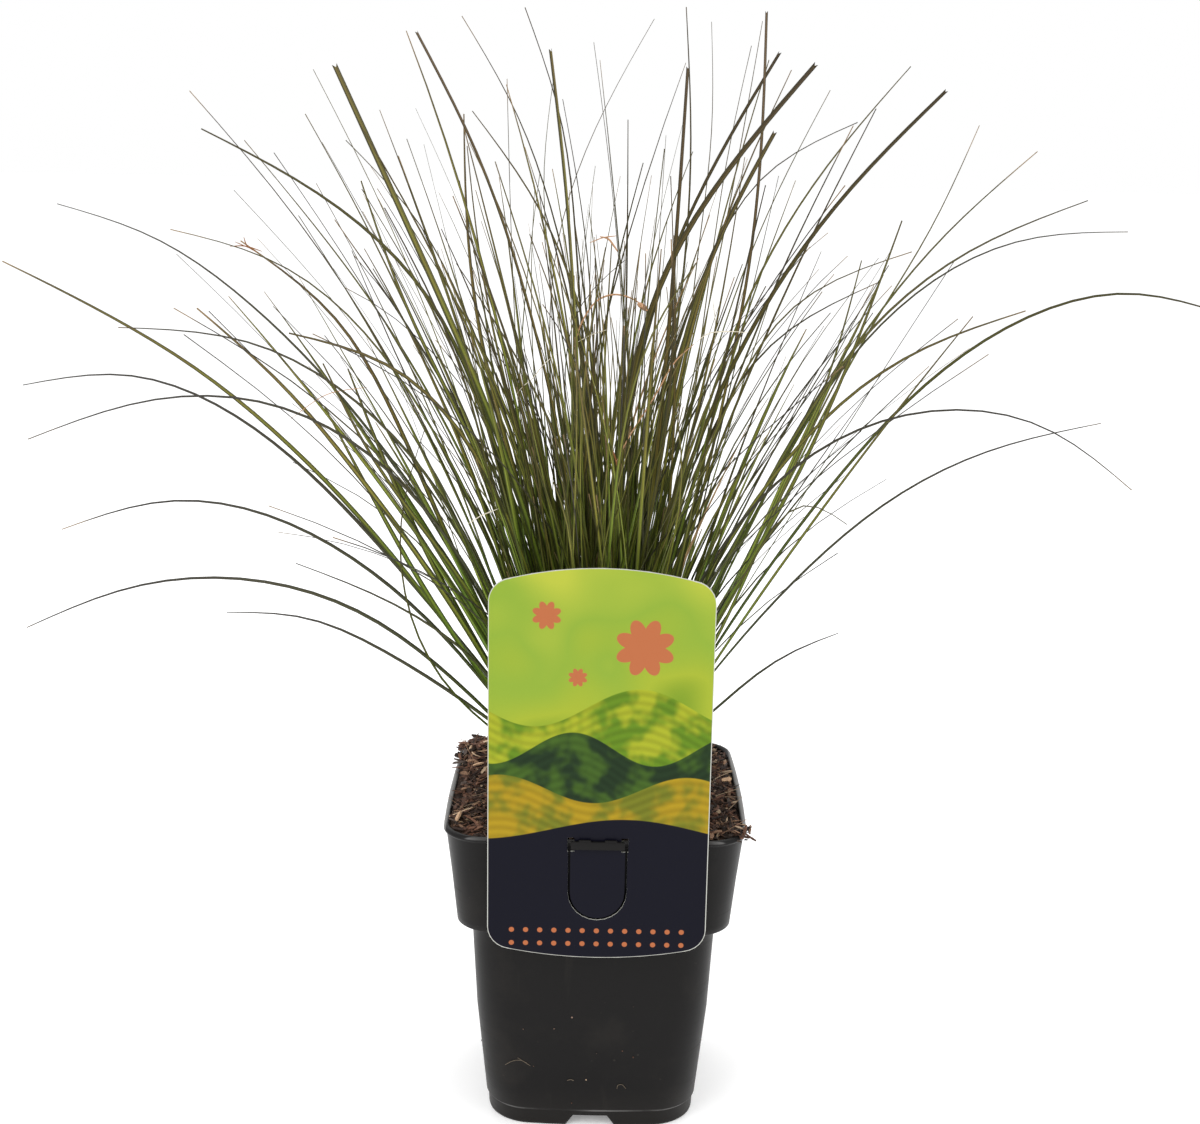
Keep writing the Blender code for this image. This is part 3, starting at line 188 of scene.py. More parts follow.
LEADERS = (
    Leader(((-100, 241), (-136, 276), (-169, 299), (-227, 322)), 25, 1.6, tone=Tone.OLIVE, slender=1.02),
    Leader(((-80, 266), (-123, 296), (-175, 298)), -30, 1.3),
    Leader(((-60, 202), (-93, 249), (-119, 282), (-146, 305)), -10, 2.0, tone=Tone.BRONZE),
    Leader(((-67, 198), (-100, 238), (-137, 270), (-180, 285), (-210, 277)), 45, 1.6, slender=0.9),
    Leader(((-60, 226), (-99, 266), (-150, 277), (-211, 257)), -55, 1.2),
    Leader(((-73, 198), (-103, 221), (-154, 238), (-201, 223)), 10, 1.6, slender=0.85),
    Leader(((-60, 170), (-94, 196), (-144, 207), (-188, 200), (-217, 185)), -25, 1.4),
    Leader(((-44, 151), (-76, 172), (-102, 189), (-141, 191)), 30, 1.5, slender=0.9),
    Leader(((-45, 172), (-79, 196), (-114, 210)), -45, 1.2),
    Leader(((-60, 225), (-127, 308), (-161, 333), (-194, 342)), 60, 1.2),
    Leader(((-55, 250), (-97, 311), (-129, 331), (-154, 333)), -15, 1.1),
    Leader(((-35, 245), (-60, 311), (-96, 345), (-141, 368)), -22, 1.7, tone=Tone.SHADY),
    Leader(((-30, 240), (-57, 308), (-78, 356), (-93, 390)),
           -38, 2.3, blunt=True, turn=85.0, tone=Tone.GREEN),
    Leader(((-40, 240), (-72, 309), (-85, 338), (-104, 373)), 30, 1.2),
    Leader(((-30, 255), (-50, 309), (-74, 351), (-90, 364)), 55, 1.1),
    Leader(((-12, 245), (-26, 309), (-38, 350), (-64, 401)),
           -30, 1.7, blunt=True, tone=Tone.BRONZE, slender=0.8),
    Leader(((-25, 220), (-47, 309), (-48, 373)), 38, 1.7, tone=Tone.OLIVE),
    Leader(((-25, 240), (-42, 309), (-47, 362)), -12, 1.5),
    Leader(((0, 275), (-12, 323), (-28, 354), (-45, 374)), 22, 1.5),
    Leader(((-5, 285), (-15, 334), (-27, 372), (-48, 409)), 50, 1.1),
    Leader(((-6, 230), (-9, 308), (-12, 354), (-17, 395)), -42, 2.3, blunt=True, turn=85.0, tone=Tone.GREEN),
    Leader(((-8, 320), (-18, 395), (-26, 410)), 8, 1.1),
    Leader(((-10, 280), (-22, 342), (-16, 387)), 45, 1.1),
    Leader(((-24, 200), (-45, 254), (-70, 285), (-104, 300), (-113, 296)),
           -50, 1.6, tone=Tone.OLIVE, slender=1.25),
    Leader(((-55, 215), (-74, 264), (-92, 302), (-129, 329)), 30, 1.7),
    Leader(((-50, 250), (-83, 309), (-126, 364)), 70, 1.2),
    Leader(((-35, 230), (-58, 280), (-78, 322), (-85, 350)), -5, 1.8),
    Leader(((-36, 240), (-39, 283), (-44, 322), (-50, 350)), 60, 1.6),
    Leader(((-18, 270), (-20, 313), (-10, 353), (19, 405)), 35, 1.1),
    Leader(((-2, 260), (-2, 313), (-13, 378)), -20, 1.4),
    Leader(((-12, 265), (-11, 314), (1, 330), (9, 322)), -48, 1.1),
    Leader(((20, 250), (33, 353), (30, 408)), 18, 1.7, tone=Tone.DARK),
    Leader(((20, 240), (28, 338), (31, 389)), -30, 2.0, blunt=True, tone=Tone.BRONZE, slender=0.7),
    Leader(((28, 255), (35, 326), (41, 374), (39, 408)), 55, 1.3),
    Leader(((40, 250), (55, 326), (58, 377), (58, 408)), 5, 1.8, blunt=True, tone=Tone.BRONZE, slender=0.75),
    Leader(((8, 255), (24, 323), (41, 358), (63, 394)), 30, 1.8, blunt=True, tone=Tone.DARK),
    Leader(((5, 245), (24, 323), (43, 352), (76, 390)),
           -42, 2.3, blunt=True, turn=85.0, tone=Tone.DARK, slender=0.84),
    Leader(((22, 245), (38, 323), (56, 359), (62, 367)), -25, 2.1, blunt=True, tone=Tone.OLIVE, slender=0.85),
    Leader(((35, 275), (47, 371), (53, 396)), 45, 1.1),
    Leader(((35, 265), (57, 334), (81, 381)), 65, 1.2),
    Leader(((8, 250), (10, 322), (10, 371)), -10, 1.4),
    Leader(((32, 247), (54, 298), (78, 336), (122, 381)),
           -25, 2.1, blunt=True, turn=85.0, tone=Tone.DARK, slender=0.72),
    Leader(((60, 205), (96, 254), (125, 285), (190, 314), (228, 303)), 12, 1.7),
    Leader(((46, 218), (95, 279), (126, 298), (154, 304)), -20, 1.7),
    Leader(((50, 225), (95, 266), (130, 271), (174, 262), (197, 238)), -45, 1.1),
    Leader(((60, 190), (97, 228), (128, 249), (184, 263)), 35, 1.3),
    Leader(((60, 235), (94, 296), (129, 326), (174, 343)), -10, 1.6),
    Leader(((62, 240), (97, 296), (143, 330), (189, 332)), 45, 1.2),
    Leader(((58, 230), (95, 296), (137, 346), (155, 360)), 25, 1.5),
    Leader(((62, 225), (93, 290), (125, 344), (134, 369)), 70, 1.5),
    Leader(((50, 200), (72, 240), (97, 302), (108, 336)), -35, 1.7, tone=Tone.GREEN),
    Leader(((62, 220), (96, 262), (120, 284)), 60, 1.3),
    Leader(((30, 300), (64, 362), (91, 370)), 25, 1.1),
    Leader(((42, 260), (72, 315), (103, 326), (112, 325)), -50, 1.1),
    Leader(((34, 240), (51, 285), (76, 306), (100, 314)), 5, 1.4),
    Leader(((48, 180), (69, 211), (86, 238), (117, 278), (135, 302)),
           -15, 2.0, tone=Tone.OLIVE, slender=0.68),
    Leader(((42, 151), (68, 174), (90, 183)), 20, 1.4),
    Leader(((45, 190), (68, 240), (87, 285), (102, 317)), 20, 2.1, tone=Tone.BRIGHT),
    Leader(((35, 255), (54, 313), (74, 348), (109, 389)), 15, 1.5),
    Leader(((52, 200), (80, 244), (92, 225)), -40, 1.1),
)


# Leaves that only the looks add, each after the number of the shoot that bears it.
STRAYS = (
    (25, Leader(((-44, 145), (-66, 169), (-73, 187), (-76, 215), (-75, 236), (-70, 250), (-64, 262)),
                -25, 1.1, tone=Tone.DARK)),
    (33, Leader(((-43, 192), (-56, 212), (-71, 226), (-79, 239), (-91, 260), (-101, 285)), -35, 1.9,
                tone=Tone.OLIVE)),
    (30, Leader(((-43, 163), (-60, 190), (-76, 218), (-91, 249), (-101, 269)), -5, 2.1, tone=Tone.BRIGHT)),
    (25, Leader(((-43, 172), (-58, 200), (-72, 229), (-83, 257), (-92, 283)), 12, 2.1, tone=Tone.GREEN)),
    (21, Leader(((44, 186), (66, 238), (84, 280), (97, 306)), 15, 1.9, tone=Tone.BRIGHT)),
    (29, Leader(((47, 196), (72, 250), (88, 290), (94, 322)), 30, 1.8, tone=Tone.GREEN)),
    (26, Leader(((43, 178), (64, 228), (80, 268), (92, 290)), 5, 1.8, tone=Tone.OLIVE)),
)


@dataclass
class Shoot:
    """A leafy shoot: where its sheath starts in the soil, which way it leans, and how tall it is."""

    name: str
    place: np.ndarray
    base: np.ndarray
    axis: np.ndarray
    rise: float

    def on_axis(self, share: float) -> np.ndarray:
        """A point of the sheath's axis, from the soil's surface at 0 to the sheath's top at 1."""
        return self.base + self.axis * (SHEATH_DEPTH + self.rise * share)


@dataclass
class Blade:
    """One leaf: the points of its middle line from root to tip, and the width at its widest."""

    shoot: int
    points: np.ndarray
    width: float
    blunt: bool
    turn: float
    leads: bool
    tone: Tone | None = None
    slender: float = 1.0


def smooth_route(points: np.ndarray, shares: np.ndarray) -> np.ndarray:
    """Read a smooth curve through given points: cubic Hermite pieces whose slopes are central differences.

    Args:
        points: the points that the curve passes through, one a row.
        shares: where to read it, as shares of the length of the straight pieces.

    Returns:
        The curve's points, one a row.
    """
    steps = np.linalg.norm(np.diff(points, axis=0), axis=1)
    knots = np.concatenate(((0.0,), np.cumsum(steps))) / steps.sum()
    slopes = np.gradient(points, knots, axis=0, edge_order=1)
    spans = np.clip(np.searchsorted(knots, shares, side="right") - 1, 0, len(steps) - 1)
    length = (knots[spans + 1] - knots[spans])[:, None]
    local = (shares[:, None] - knots[spans][:, None]) / length
    start, end = points[spans], points[spans + 1]
    start_slope, end_slope = slopes[spans] * length, slopes[spans + 1] * length
    square, cube = local ** 2, local ** 3
    return ((2 * cube - 3 * square + 1) * start + (cube - 2 * square + local) * start_slope
            + (3 * square - 2 * cube) * end + (cube - square) * end_slope)


def spline(points: np.ndarray, shares: np.ndarray) -> np.ndarray:
    """Read a uniform cubic B-spline that starts and ends on the first and last of its guiding points.

    Args:
        points: the guiding points, one a row.
        shares: where to read it, from 0 to 1.

    Returns:
        The curve's points, one a row.
    """
    guides = np.vstack((2 * points[0] - points[1], points, 2 * points[-1] - points[-2]))
    reach = np.clip(shares, 0.0, 1.0) * (len(points) - 1)
    span = np.minimum(reach.astype(int), len(points) - 2)
    t = (reach - span)[:, None]
    return ((1 - t) ** 3 * guides[span] + (3 * t ** 3 - 6 * t ** 2 + 4) * guides[span + 1]
            + (3 * (t + t ** 2 - t ** 3) + 1) * guides[span + 2] + t ** 3 * guides[span + 3]) / 6


def on_picture(route: np.ndarray, depths: np.ndarray) -> np.ndarray:
    """Carry points of the picture plane along the line of sight to given depths.

    Args:
        route: points (across, up) in millimetres.
        depths: how far behind the plane y = 0 each point goes, in metres.

    Returns:
        The points in the part's frame.
    """
    across, up = route[:, 0] * MM, route[:, 1] * MM - PICTURE_MIDDLE
    cosine, sine = math.cos(PICTURE_ROLL), math.sin(PICTURE_ROLL)
    on_plane = np.column_stack((across * cosine - up * sine, np.zeros(len(route)),
                                PICTURE_MIDDLE + across * sine + up * cosine))
    scale = (depths - EYE[1]) / -EYE[1]
    return EYE + (on_plane - EYE) * scale[:, None]


def toward_edge(pair: tuple, edge: float) -> float:
    """A value that changes evenly from the crown's middle to its edge."""
    return pair[0] + pair[1] * edge


def closest_between(start_a: np.ndarray, end_a: np.ndarray, start_b: np.ndarray, end_b: np.ndarray) -> tuple:
    """Find the nearest points of pairs of straight pieces.

    Args:
        start_a: starts of the first pieces, one a row.
        end_a: their ends.
        start_b: starts of the second pieces.
        end_b: their ends.

    Returns:
        The shares along the first and the second pieces, and the vectors from the second to the first.
    """
    run_a, run_b, offset = end_a - start_a, end_b - start_b, start_a - start_b
    aa = np.einsum("ij,ij->i", run_a, run_a)
    bb = np.einsum("ij,ij->i", run_b, run_b)
    ab = np.einsum("ij,ij->i", run_a, run_b)
    ao = np.einsum("ij,ij->i", run_a, offset)
    bo = np.einsum("ij,ij->i", run_b, offset)
    spread = np.maximum(aa * bb - ab * ab, 1e-20)
    share_a = np.clip((ab * bo - ao * bb) / spread, 0.0, 1.0)
    share_b = np.clip((ab * share_a + bo) / bb, 0.0, 1.0)
    share_a = np.clip((ab * share_b - ao) / aa, 0.0, 1.0)
    apart = start_a + run_a * share_a[:, None] - start_b - run_b * share_b[:, None]
    return share_a, share_b, apart


class GrowthRule:
    """The seeded rule that places the shoots and draws their leaves, the same as the part's."""

    def __init__(self) -> None:
        """Start the rule's own random stream."""
        self.draw = np.random.default_rng(SEED)

    def soil_at(self, place: np.ndarray) -> float:
        """Height of the soil at a shoot: the crown's rise, the heap, and a lump of smooth noise."""
        crown = math.exp(-(place[0] ** 2 + place[1] ** 2) / (2 * SOIL_CROWN_WIDTH ** 2))
        off_heap = (place[0] - SOIL_HEAP_PLACE[0]) ** 2 + (place[1] - SOIL_HEAP_PLACE[1]) ** 2
        heap = math.exp(-off_heap / (2 * SOIL_HEAP_WIDTH ** 2))
        lump = noise.noise(Vector((place[0], place[1], 0.0)) / SOIL_LUMP_SIZE)
        return SOIL_EDGE + SOIL_CROWN_RISE * crown + SOIL_HEAP_RISE * heap + SOIL_LUMP * lump

    def crown(self) -> list[Shoot]:
        """Spread the shoots like the seeds of a sunflower, each leaning outwards.

        Returns:
            The shoots, from the crown's middle to its edge.
        """
        shoots = []
        for count in range(SHOOTS):
            share = math.sqrt((count + 0.5) / SHOOTS)
            angle = count * GOLDEN_ANGLE
            outward = np.array((math.cos(angle), math.sin(angle), 0.0))
            lean = SHEATH_LEAN * share
            axis = outward * math.sin(lean) + np.array((0.0, 0.0, math.cos(lean)))
            place = outward * share * CROWN_RADIUS
            base = place + np.array((0.0, 0.0, self.soil_at(place))) - axis * SHEATH_DEPTH
            rise = self.draw.uniform(*SHEATH_RISE)
            shoots.append(Shoot(f"shoot_{count + 1:02d}", place, base, axis, rise))
        return shoots

    @staticmethod
    def ring_shares(length: float) -> np.ndarray:
        """Where the part's rings lie along a leaf: one close to the root, then evenly."""
        count = int(np.clip(round(length / RING_SPACING), 5, 8))
        return np.concatenate(((0.0,), np.linspace(FIRST_RING / length, 1.0, count)))

    def leader_blade(self, leader: Leader, shoot: int, root: np.ndarray) -> Blade:
        """Lay a leading leaf from its root along its route, moved to its depth along the line of sight.

        Args:
            leader: the leaf's route and depth.
            shoot: the number of the shoot that bears it.
            root: where it leaves the shoot.

        Returns:
            The leaf.
        """
        route = np.array(leader.route, dtype=float)
        reach = np.linalg.norm(on_picture(route, np.zeros(len(route))) - root, axis=1)
        depths = root[1] + (leader.depth * MM - root[1]) * (reach / reach[-1])
        through = np.vstack((root, on_picture(route, depths)))
        length = np.linalg.norm(np.diff(through, axis=0), axis=1).sum()
        points = smooth_route(through, self.ring_shares(length))
        return Blade(shoot, points, leader.width * MM, leader.blunt, math.radians(leader.turn), True,
                     leader.tone, leader.slender)

    def filler_blade(self, number: int, shoot: Shoot, root: np.ndarray) -> Blade:
        """Draw a leaf that leaves its shoot steeply and arches outwards: a parabola through three points.

        Args:
            number: the shoot's number.
            shoot: the shoot.
            root: where the leaf leaves it.

        Returns:
            The leaf.
        """
        draw = self.draw
        edge = np.linalg.norm(shoot.place) / CROWN_RADIUS
        outwards = math.atan2(shoot.place[1], shoot.place[0])
        heading = outwards + draw.normal(0.0, toward_edge(FILLER_SWERVE, edge))
        length = draw.triangular(*FILLER_LENGTH)
        leaving = toward_edge(FILLER_RISE, edge * draw.random())
        leaving = max(leaving, toward_edge(FILLER_RISE_AT_CARD, max(0.0, -math.sin(heading))))
        bend = draw.triangular(FILLER_LEAST_BEND, toward_edge(FILLER_LIKELY_BEND, edge),
                               toward_edge(FILLER_MOST_BEND, edge))
        points = arched(root, heading, length, (leaving, bend), FILLER_KNEE, self.ring_shares(length))
        width = draw.triangular(*FILLER_WIDTH)
        return Blade(number, points, width, draw.random() < FILLER_BLUNT, draw.uniform(0.0, math.pi),
                     False)

    @staticmethod
    def root_on(shoot: Shoot, used: int) -> np.ndarray:
        """The root of a shoot's next leaf: leaves spring from their sheath one above another."""
        low, high = ROOT_SPAN
        return shoot.on_axis(low + (high - low) * used / BLADES_A_SHOOT)

    def leaves(self, crown: list[Shoot]) -> list[Blade]:
        """Give each leader the free shoot that suits it best, then fill every shoot up.

        Args:
            crown: the shoots.

        Returns:
            All the leaves, not yet bent clear of one another.
        """
        places = np.array([shoot.place[:2] for shoot in crown])
        used = np.zeros(len(crown), dtype=int)
        blades = []
        for leader in sorted(LEADERS, key=lambda each: each.route[0][1]):
            across, up = leader.route[0]
            side = LEADER_FAN * across / (up - POT_HEIGHT / MM)
            wish = np.array((np.clip(side, -LEADER_SIDE, LEADER_SIDE),
                             np.clip(LEADER_DEPTH_SHARE * leader.depth, -LEADER_DEPTH, LEADER_DEPTH)))
            miss = np.linalg.norm(places - wish * MM, axis=1)
            miss[used >= LEADERS_A_SHOOT] = np.inf
            best = int(np.argmin(miss))
            blades.append(self.leader_blade(leader, best, self.root_on(crown[best], used[best])))
            used[best] += 1
        for number, shoot in enumerate(crown):
            for count in range(used[number], BLADES_A_SHOOT):
                blades.append(self.filler_blade(number, shoot, self.root_on(shoot, count)))
        return blades


def arched(root: np.ndarray, heading: float, length: float, angles: tuple, knee_share: float,
           shares: np.ndarray) -> np.ndarray:
    """Read an arching leaf: a quadratic curve whose end pieces rise at two angles.

    Args:
        root: where it starts.
        heading: the way that it leans, in radians.
        length: its length.
        angles: how steeply it leaves, and how far it bends down, in degrees.
        knee_share: the share of the length before the bend.
        shares: where to read the curve, from 0 to 1.

    Returns:
        The curve's points, one a row.
    """
    outward = np.array((math.cos(heading), math.sin(heading), 0.0))
    upward = np.array((0.0, 0.0, 1.0))
    first, second = math.radians(angles[0]), math.radians(angles[0] - angles[1])
    knee = root + knee_share * length * (outward * math.cos(first) + upward * math.sin(first))
    tip = knee + (1 - knee_share) * length * (outward * math.cos(second) + upward * math.sin(second))
    share = shares[:, None]
    return (1 - share) ** 2 * root + 2 * share * (1 - share) * knee + share ** 2 * tip


def part_widths(blade: Blade) -> np.ndarray:
    """The part's own width of a leaf at each of its points."""
    steps = np.linalg.norm(np.diff(blade.points, axis=0), axis=1)
    share = np.concatenate(((0.0,), np.cumsum(steps))) / steps.sum()
    last = BLUNT_SHARE if blade.blunt else TIP_SHARE
    rise = np.clip(share / WIDENS_OVER, 0.0, 1.0)
    fall = np.clip((share - NARROWS_FROM) / (1 - NARROWS_FROM), 0.0, 1.0)
    shape = (ROOT_SHARE + (1 - ROOT_SHARE) * rise) * (1 - (1 - last) * fall ** NARROWS_BY)
    return np.maximum(blade.width * shape, THINNEST)


class Thicket:
    """All leaves and sheaths as straight pieces with a radius, to be bent clear of one another."""

    def __init__(self, crown: list[Shoot], blades: list[Blade]) -> None:
        """Lay out the pieces.

        Args:
            crown: the shoots.
            blades: their leaves.
        """
        self.blades = blades
        lines = [blade.points for blade in blades]
        radii = [part_widths(blade) / 2 for blade in blades]
        owners = [blade.shoot for blade in blades]
        for number, shoot in enumerate(crown):
            lines.append(np.array((shoot.on_axis(SHEATH_FOOT), shoot.on_axis(1.0))))
            radii.append(np.array((SHEATH_RADIUS, SHEATH_RADIUS)))
            owners.append(number)
        sizes = np.array([len(line) for line in lines])
        self.points = np.vstack(lines)
        self.line = np.repeat(np.arange(len(lines)), sizes)
        self.rank = np.concatenate([np.arange(size) for size in sizes])
        self.radius = np.concatenate(radii)
        self.free = (self.rank > 0) & (self.line < len(blades))
        self.start = np.flatnonzero(self.line[:-1] == self.line[1:])
        self.owner = np.array(owners)[self.line[self.start]]
        self.thick = np.maximum(self.radius[self.start], self.radius[self.start + 1])

    def near_pairs(self, margin: float) -> tuple:
        """Find pieces of different lines whose balls meet, but for those fused at one shoot's root.

        Args:
            margin: how much wider each ball is taken.

        Returns:
            The numbers of the first and of the second pieces.
        """
        middle = (self.points[self.start] + self.points[self.start + 1]) / 2
        half = np.linalg.norm(self.points[self.start + 1] - self.points[self.start], axis=1) / 2
        reach = half + self.thick + margin
        first, second = np.triu_indices(len(self.start), 1)
        away = np.abs(middle[first] - middle[second]).max(axis=1)
        kept = away < reach[first] + reach[second]
        first, second = first[kept], second[kept]
        away = np.linalg.norm(middle[first] - middle[second], axis=1)
        other_line = self.line[self.start[first]] != self.line[self.start[second]]
        low = (self.rank[self.start[first]] < 2) & (self.rank[self.start[second]] < 2)
        fused = (self.owner[first] == self.owner[second]) & low
        kept = (away < reach[first] + reach[second]) & other_line & ~fused
        return first[kept], second[kept]

    def overlaps(self, first: np.ndarray, second: np.ndarray) -> tuple:
        """Measure how much each pair lacks of its gap.

        Args:
            first: numbers of the first pieces.
            second: numbers of the second pieces.

        Returns:
            What is lacking, the way apart, and the shares along the first and the second pieces.
        """
        one, two = self.start[first], self.start[second]
        share_a, share_b, apart = closest_between(self.points[one], self.points[one + 1],
                                                  self.points[two], self.points[two + 1])
        distance = np.linalg.norm(apart, axis=1)
        radius_a = self.radius[one] + (self.radius[one + 1] - self.radius[one]) * share_a
        radius_b = self.radius[two] + (self.radius[two + 1] - self.radius[two]) * share_b
        lacking = radius_a + radius_b + BLADE_GAP - distance
        away = apart / np.maximum(distance, 1e-9)[:, None]
        return lacking, away, share_a, share_b

    def push_apart(self, first: np.ndarray, second: np.ndarray) -> None:
        """Move the ends of pieces that are too close, each by its share."""
        lacking, away, share_a, share_b = self.overlaps(first, second)
        hit = lacking > 0
        shift = np.zeros_like(self.points)
        count = np.zeros(len(self.points))
        one, two = self.start[first[hit]], self.start[second[hit]]
        step = (away * (lacking[:, None] * PUSH_SHARE + PUSH_EXTRA))[hit]
        for base, share, sign in ((one, share_a[hit], 1.0), (two, share_b[hit], -1.0)):
            weight = (1 - share) ** 2 + share ** 2
            for end, part in ((base, 1 - share), (base + 1, share)):
                np.add.at(shift, end, sign * step * (part / weight)[:, None])
                np.add.at(count, end, part > PUSH_COUNTS)
        shift /= np.sqrt(np.maximum(count, 1.0))[:, None]
        self.points[self.free] += shift[self.free]

    def keep_in_bounds(self) -> None:
        """Hold the leaves above the rim, off the card and inside the tuft's box."""
        x, y, z = self.points.T
        outside = np.hypot(x, y) > CROWN_EDGE
        z[outside & self.free] = np.maximum(z, RIM_CLEARANCE)[outside & self.free]
        eye_run = (y - EYE[1]) / (CARD_FRONT - EYE[1])
        ahead = self.free & (y < NEAR_CARD)
        shadow_half = (CARD_HALF + CARD_CLEARANCE) * np.minimum(eye_run, 1.0)
        floor = EYE[2] - (EYE[2] - CARD_TOP - CARD_CLEARANCE) * np.minimum(eye_run, 1.0)
        caught = ahead & (np.abs(x) < shadow_half) & (z < floor)
        back = caught & (y > PAST_CARD)
        y[back] = np.maximum(y, BEHIND_CARD)[back]
        z[caught & ~back] = floor[caught & ~back]
        self.points[:, 0] = np.clip(x, BOX_MARGIN - SPREAD_X, SPREAD_X - BOX_MARGIN)
        self.points[:, 1] = np.clip(y, BOX_MARGIN - SPREAD_Y, SPREAD_Y - BOX_MARGIN)
        self.points[:, 2] = np.minimum(z, TUFT_TOP - BOX_MARGIN)

    def lift_over_card(self) -> None:
        """Raise every piece that would cut through the card, until it passes above its top edge."""
        one, two = self.start, self.start + 1
        before, after = self.points[one, 1] - CARD_FRONT, self.points[two, 1] - CARD_FRONT
        crosses = before * after < 0
        share = np.where(crosses, before / np.where(crosses, before - after, 1.0), 0.0)[:, None]
        at_card = self.points[one] * (1 - share) + self.points[two] * share
        lift = CARD_TOP + CARD_CLEARANCE - at_card[:, 2]
        hit = crosses & (lift > 0) & (np.abs(at_card[:, 0]) < CARD_HALF + CARD_CLEARANCE)
        for end in (one, two):
            held = end[hit][self.free[end[hit]]]
            self.points[held, 2] += lift[hit][self.free[end[hit]]]

    def bend_clear(self) -> None:
        """Push leaves apart, round after round."""
        for count in range(CLEAR_ROUNDS):
            if count % PAIRS_RENEWED == 0:
                first, second = self.near_pairs(PAIR_MARGIN)
            self.push_apart(first, second)
            self.lift_over_card()
            self.keep_in_bounds()

    def settled(self) -> list[Blade]:
        """Drop the leaves that still touch another shoot.

        Returns:
            The leaves that stay, with their new points.
        """
        first, second = self.near_pairs(0.0)
        hit = (self.overlaps(first, second)[0] > BLADE_GAP / 3) & (self.owner[first] != self.owner[second])
        lines = np.column_stack((self.line[self.start[first[hit]]], self.line[self.start[second[hit]]]))
        pairs = np.unique(np.sort(lines, axis=1), axis=0)
        dropped = set()
        while True:
            left = [pair for pair in pairs if not dropped & set(pair.tolist())]
            if not left:
                break
            names, counts = np.unique(np.array(left), return_counts=True)
            leads = np.array([line < len(self.blades) and self.blades[line].leads for line in names])
            score = np.where(names < len(self.blades), counts - 0.5 * leads, -1.0)
            dropped.add(int(names[np.argmax(score)]))
        kept = []
        for number, blade in enumerate(self.blades):
            blade.points = self.points[self.line == number]
            if number not in dropped:
                kept.append(blade)
        return kept

    @staticmethod
    def stretch_to_box(blades: list[Blade]) -> None:
        """Carry the furthest tip on each side out to the tuft's box."""
        tips = np.array([blade.points[-1] for blade in blades])
        for axis, limit in ((0, SPREAD_X), (1, SPREAD_Y)):
            blades[int(np.argmax(tips[:, axis]))].points[-1][axis] = limit
            blades[int(np.argmin(tips[:, axis]))].points[-1][axis] = -limit
        blades[int(np.argmax(tips[:, 2]))].points[-1][2] = TUFT_TOP


# Shader graphs.


class Value:
    """A shader socket that takes part in Python arithmetic: each operator adds a Math node."""

    def __init__(self, graph: "Graph", socket: bpy.types.NodeSocket) -> None:
        """Wrap a socket of a graph."""
        self.graph = graph
        self.socket = socket

    def maths(self, operation: str, *others: object) -> "Value":
        """Join this value with others through one Math node."""
        made = self.graph.node("ShaderNodeMath", {"operation": operation},
                               dict(enumerate((self, *others))))
        return Value(self.graph, made.outputs[0])

    def __add__(self, other: object) -> "Value":
        """This value plus another."""
        return self.maths("ADD", other)

    __radd__ = __add__

    def __sub__(self, other: object) -> "Value":
        """This value less another."""
        return self.maths("SUBTRACT", other)

    def __rsub__(self, other: float) -> "Value":
        """A number less this value."""
        return Value.maths(self * -1.0, "ADD", other)

    def __mul__(self, other: object) -> "Value":
        """This value times another."""
        return self.maths("MULTIPLY", other)

    __rmul__ = __mul__

    def __truediv__(self, other: object) -> "Value":
        """This value over another."""
        return self.maths("DIVIDE", other)

    def __pow__(self, other: float) -> "Value":
        """This value to a power."""
        return self.maths("POWER", other)

    def size(self) -> "Value":
        """The value without its sign."""
        return self.maths("ABSOLUTE")

    def wave(self) -> "Value":
        """The sine of the value."""
        return self.maths("SINE")

    def least(self, other: object) -> "Value":
        """The smaller of two values."""
        return self.maths("MINIMUM", other)

    def most(self, other: object) -> "Value":
        """The larger of two values."""
        return self.maths("MAXIMUM", other)

    def rises(self, low: float, high: float) -> "Value":
        """An even, eased rise from 0 at one value to 1 at another."""
        made = self.graph.node("ShaderNodeMapRange", {"interpolation_type": "SMOOTHSTEP"},
                               {"Value": self, "From Min": low, "From Max": high})
        return Value(self.graph, made.outputs["Result"])


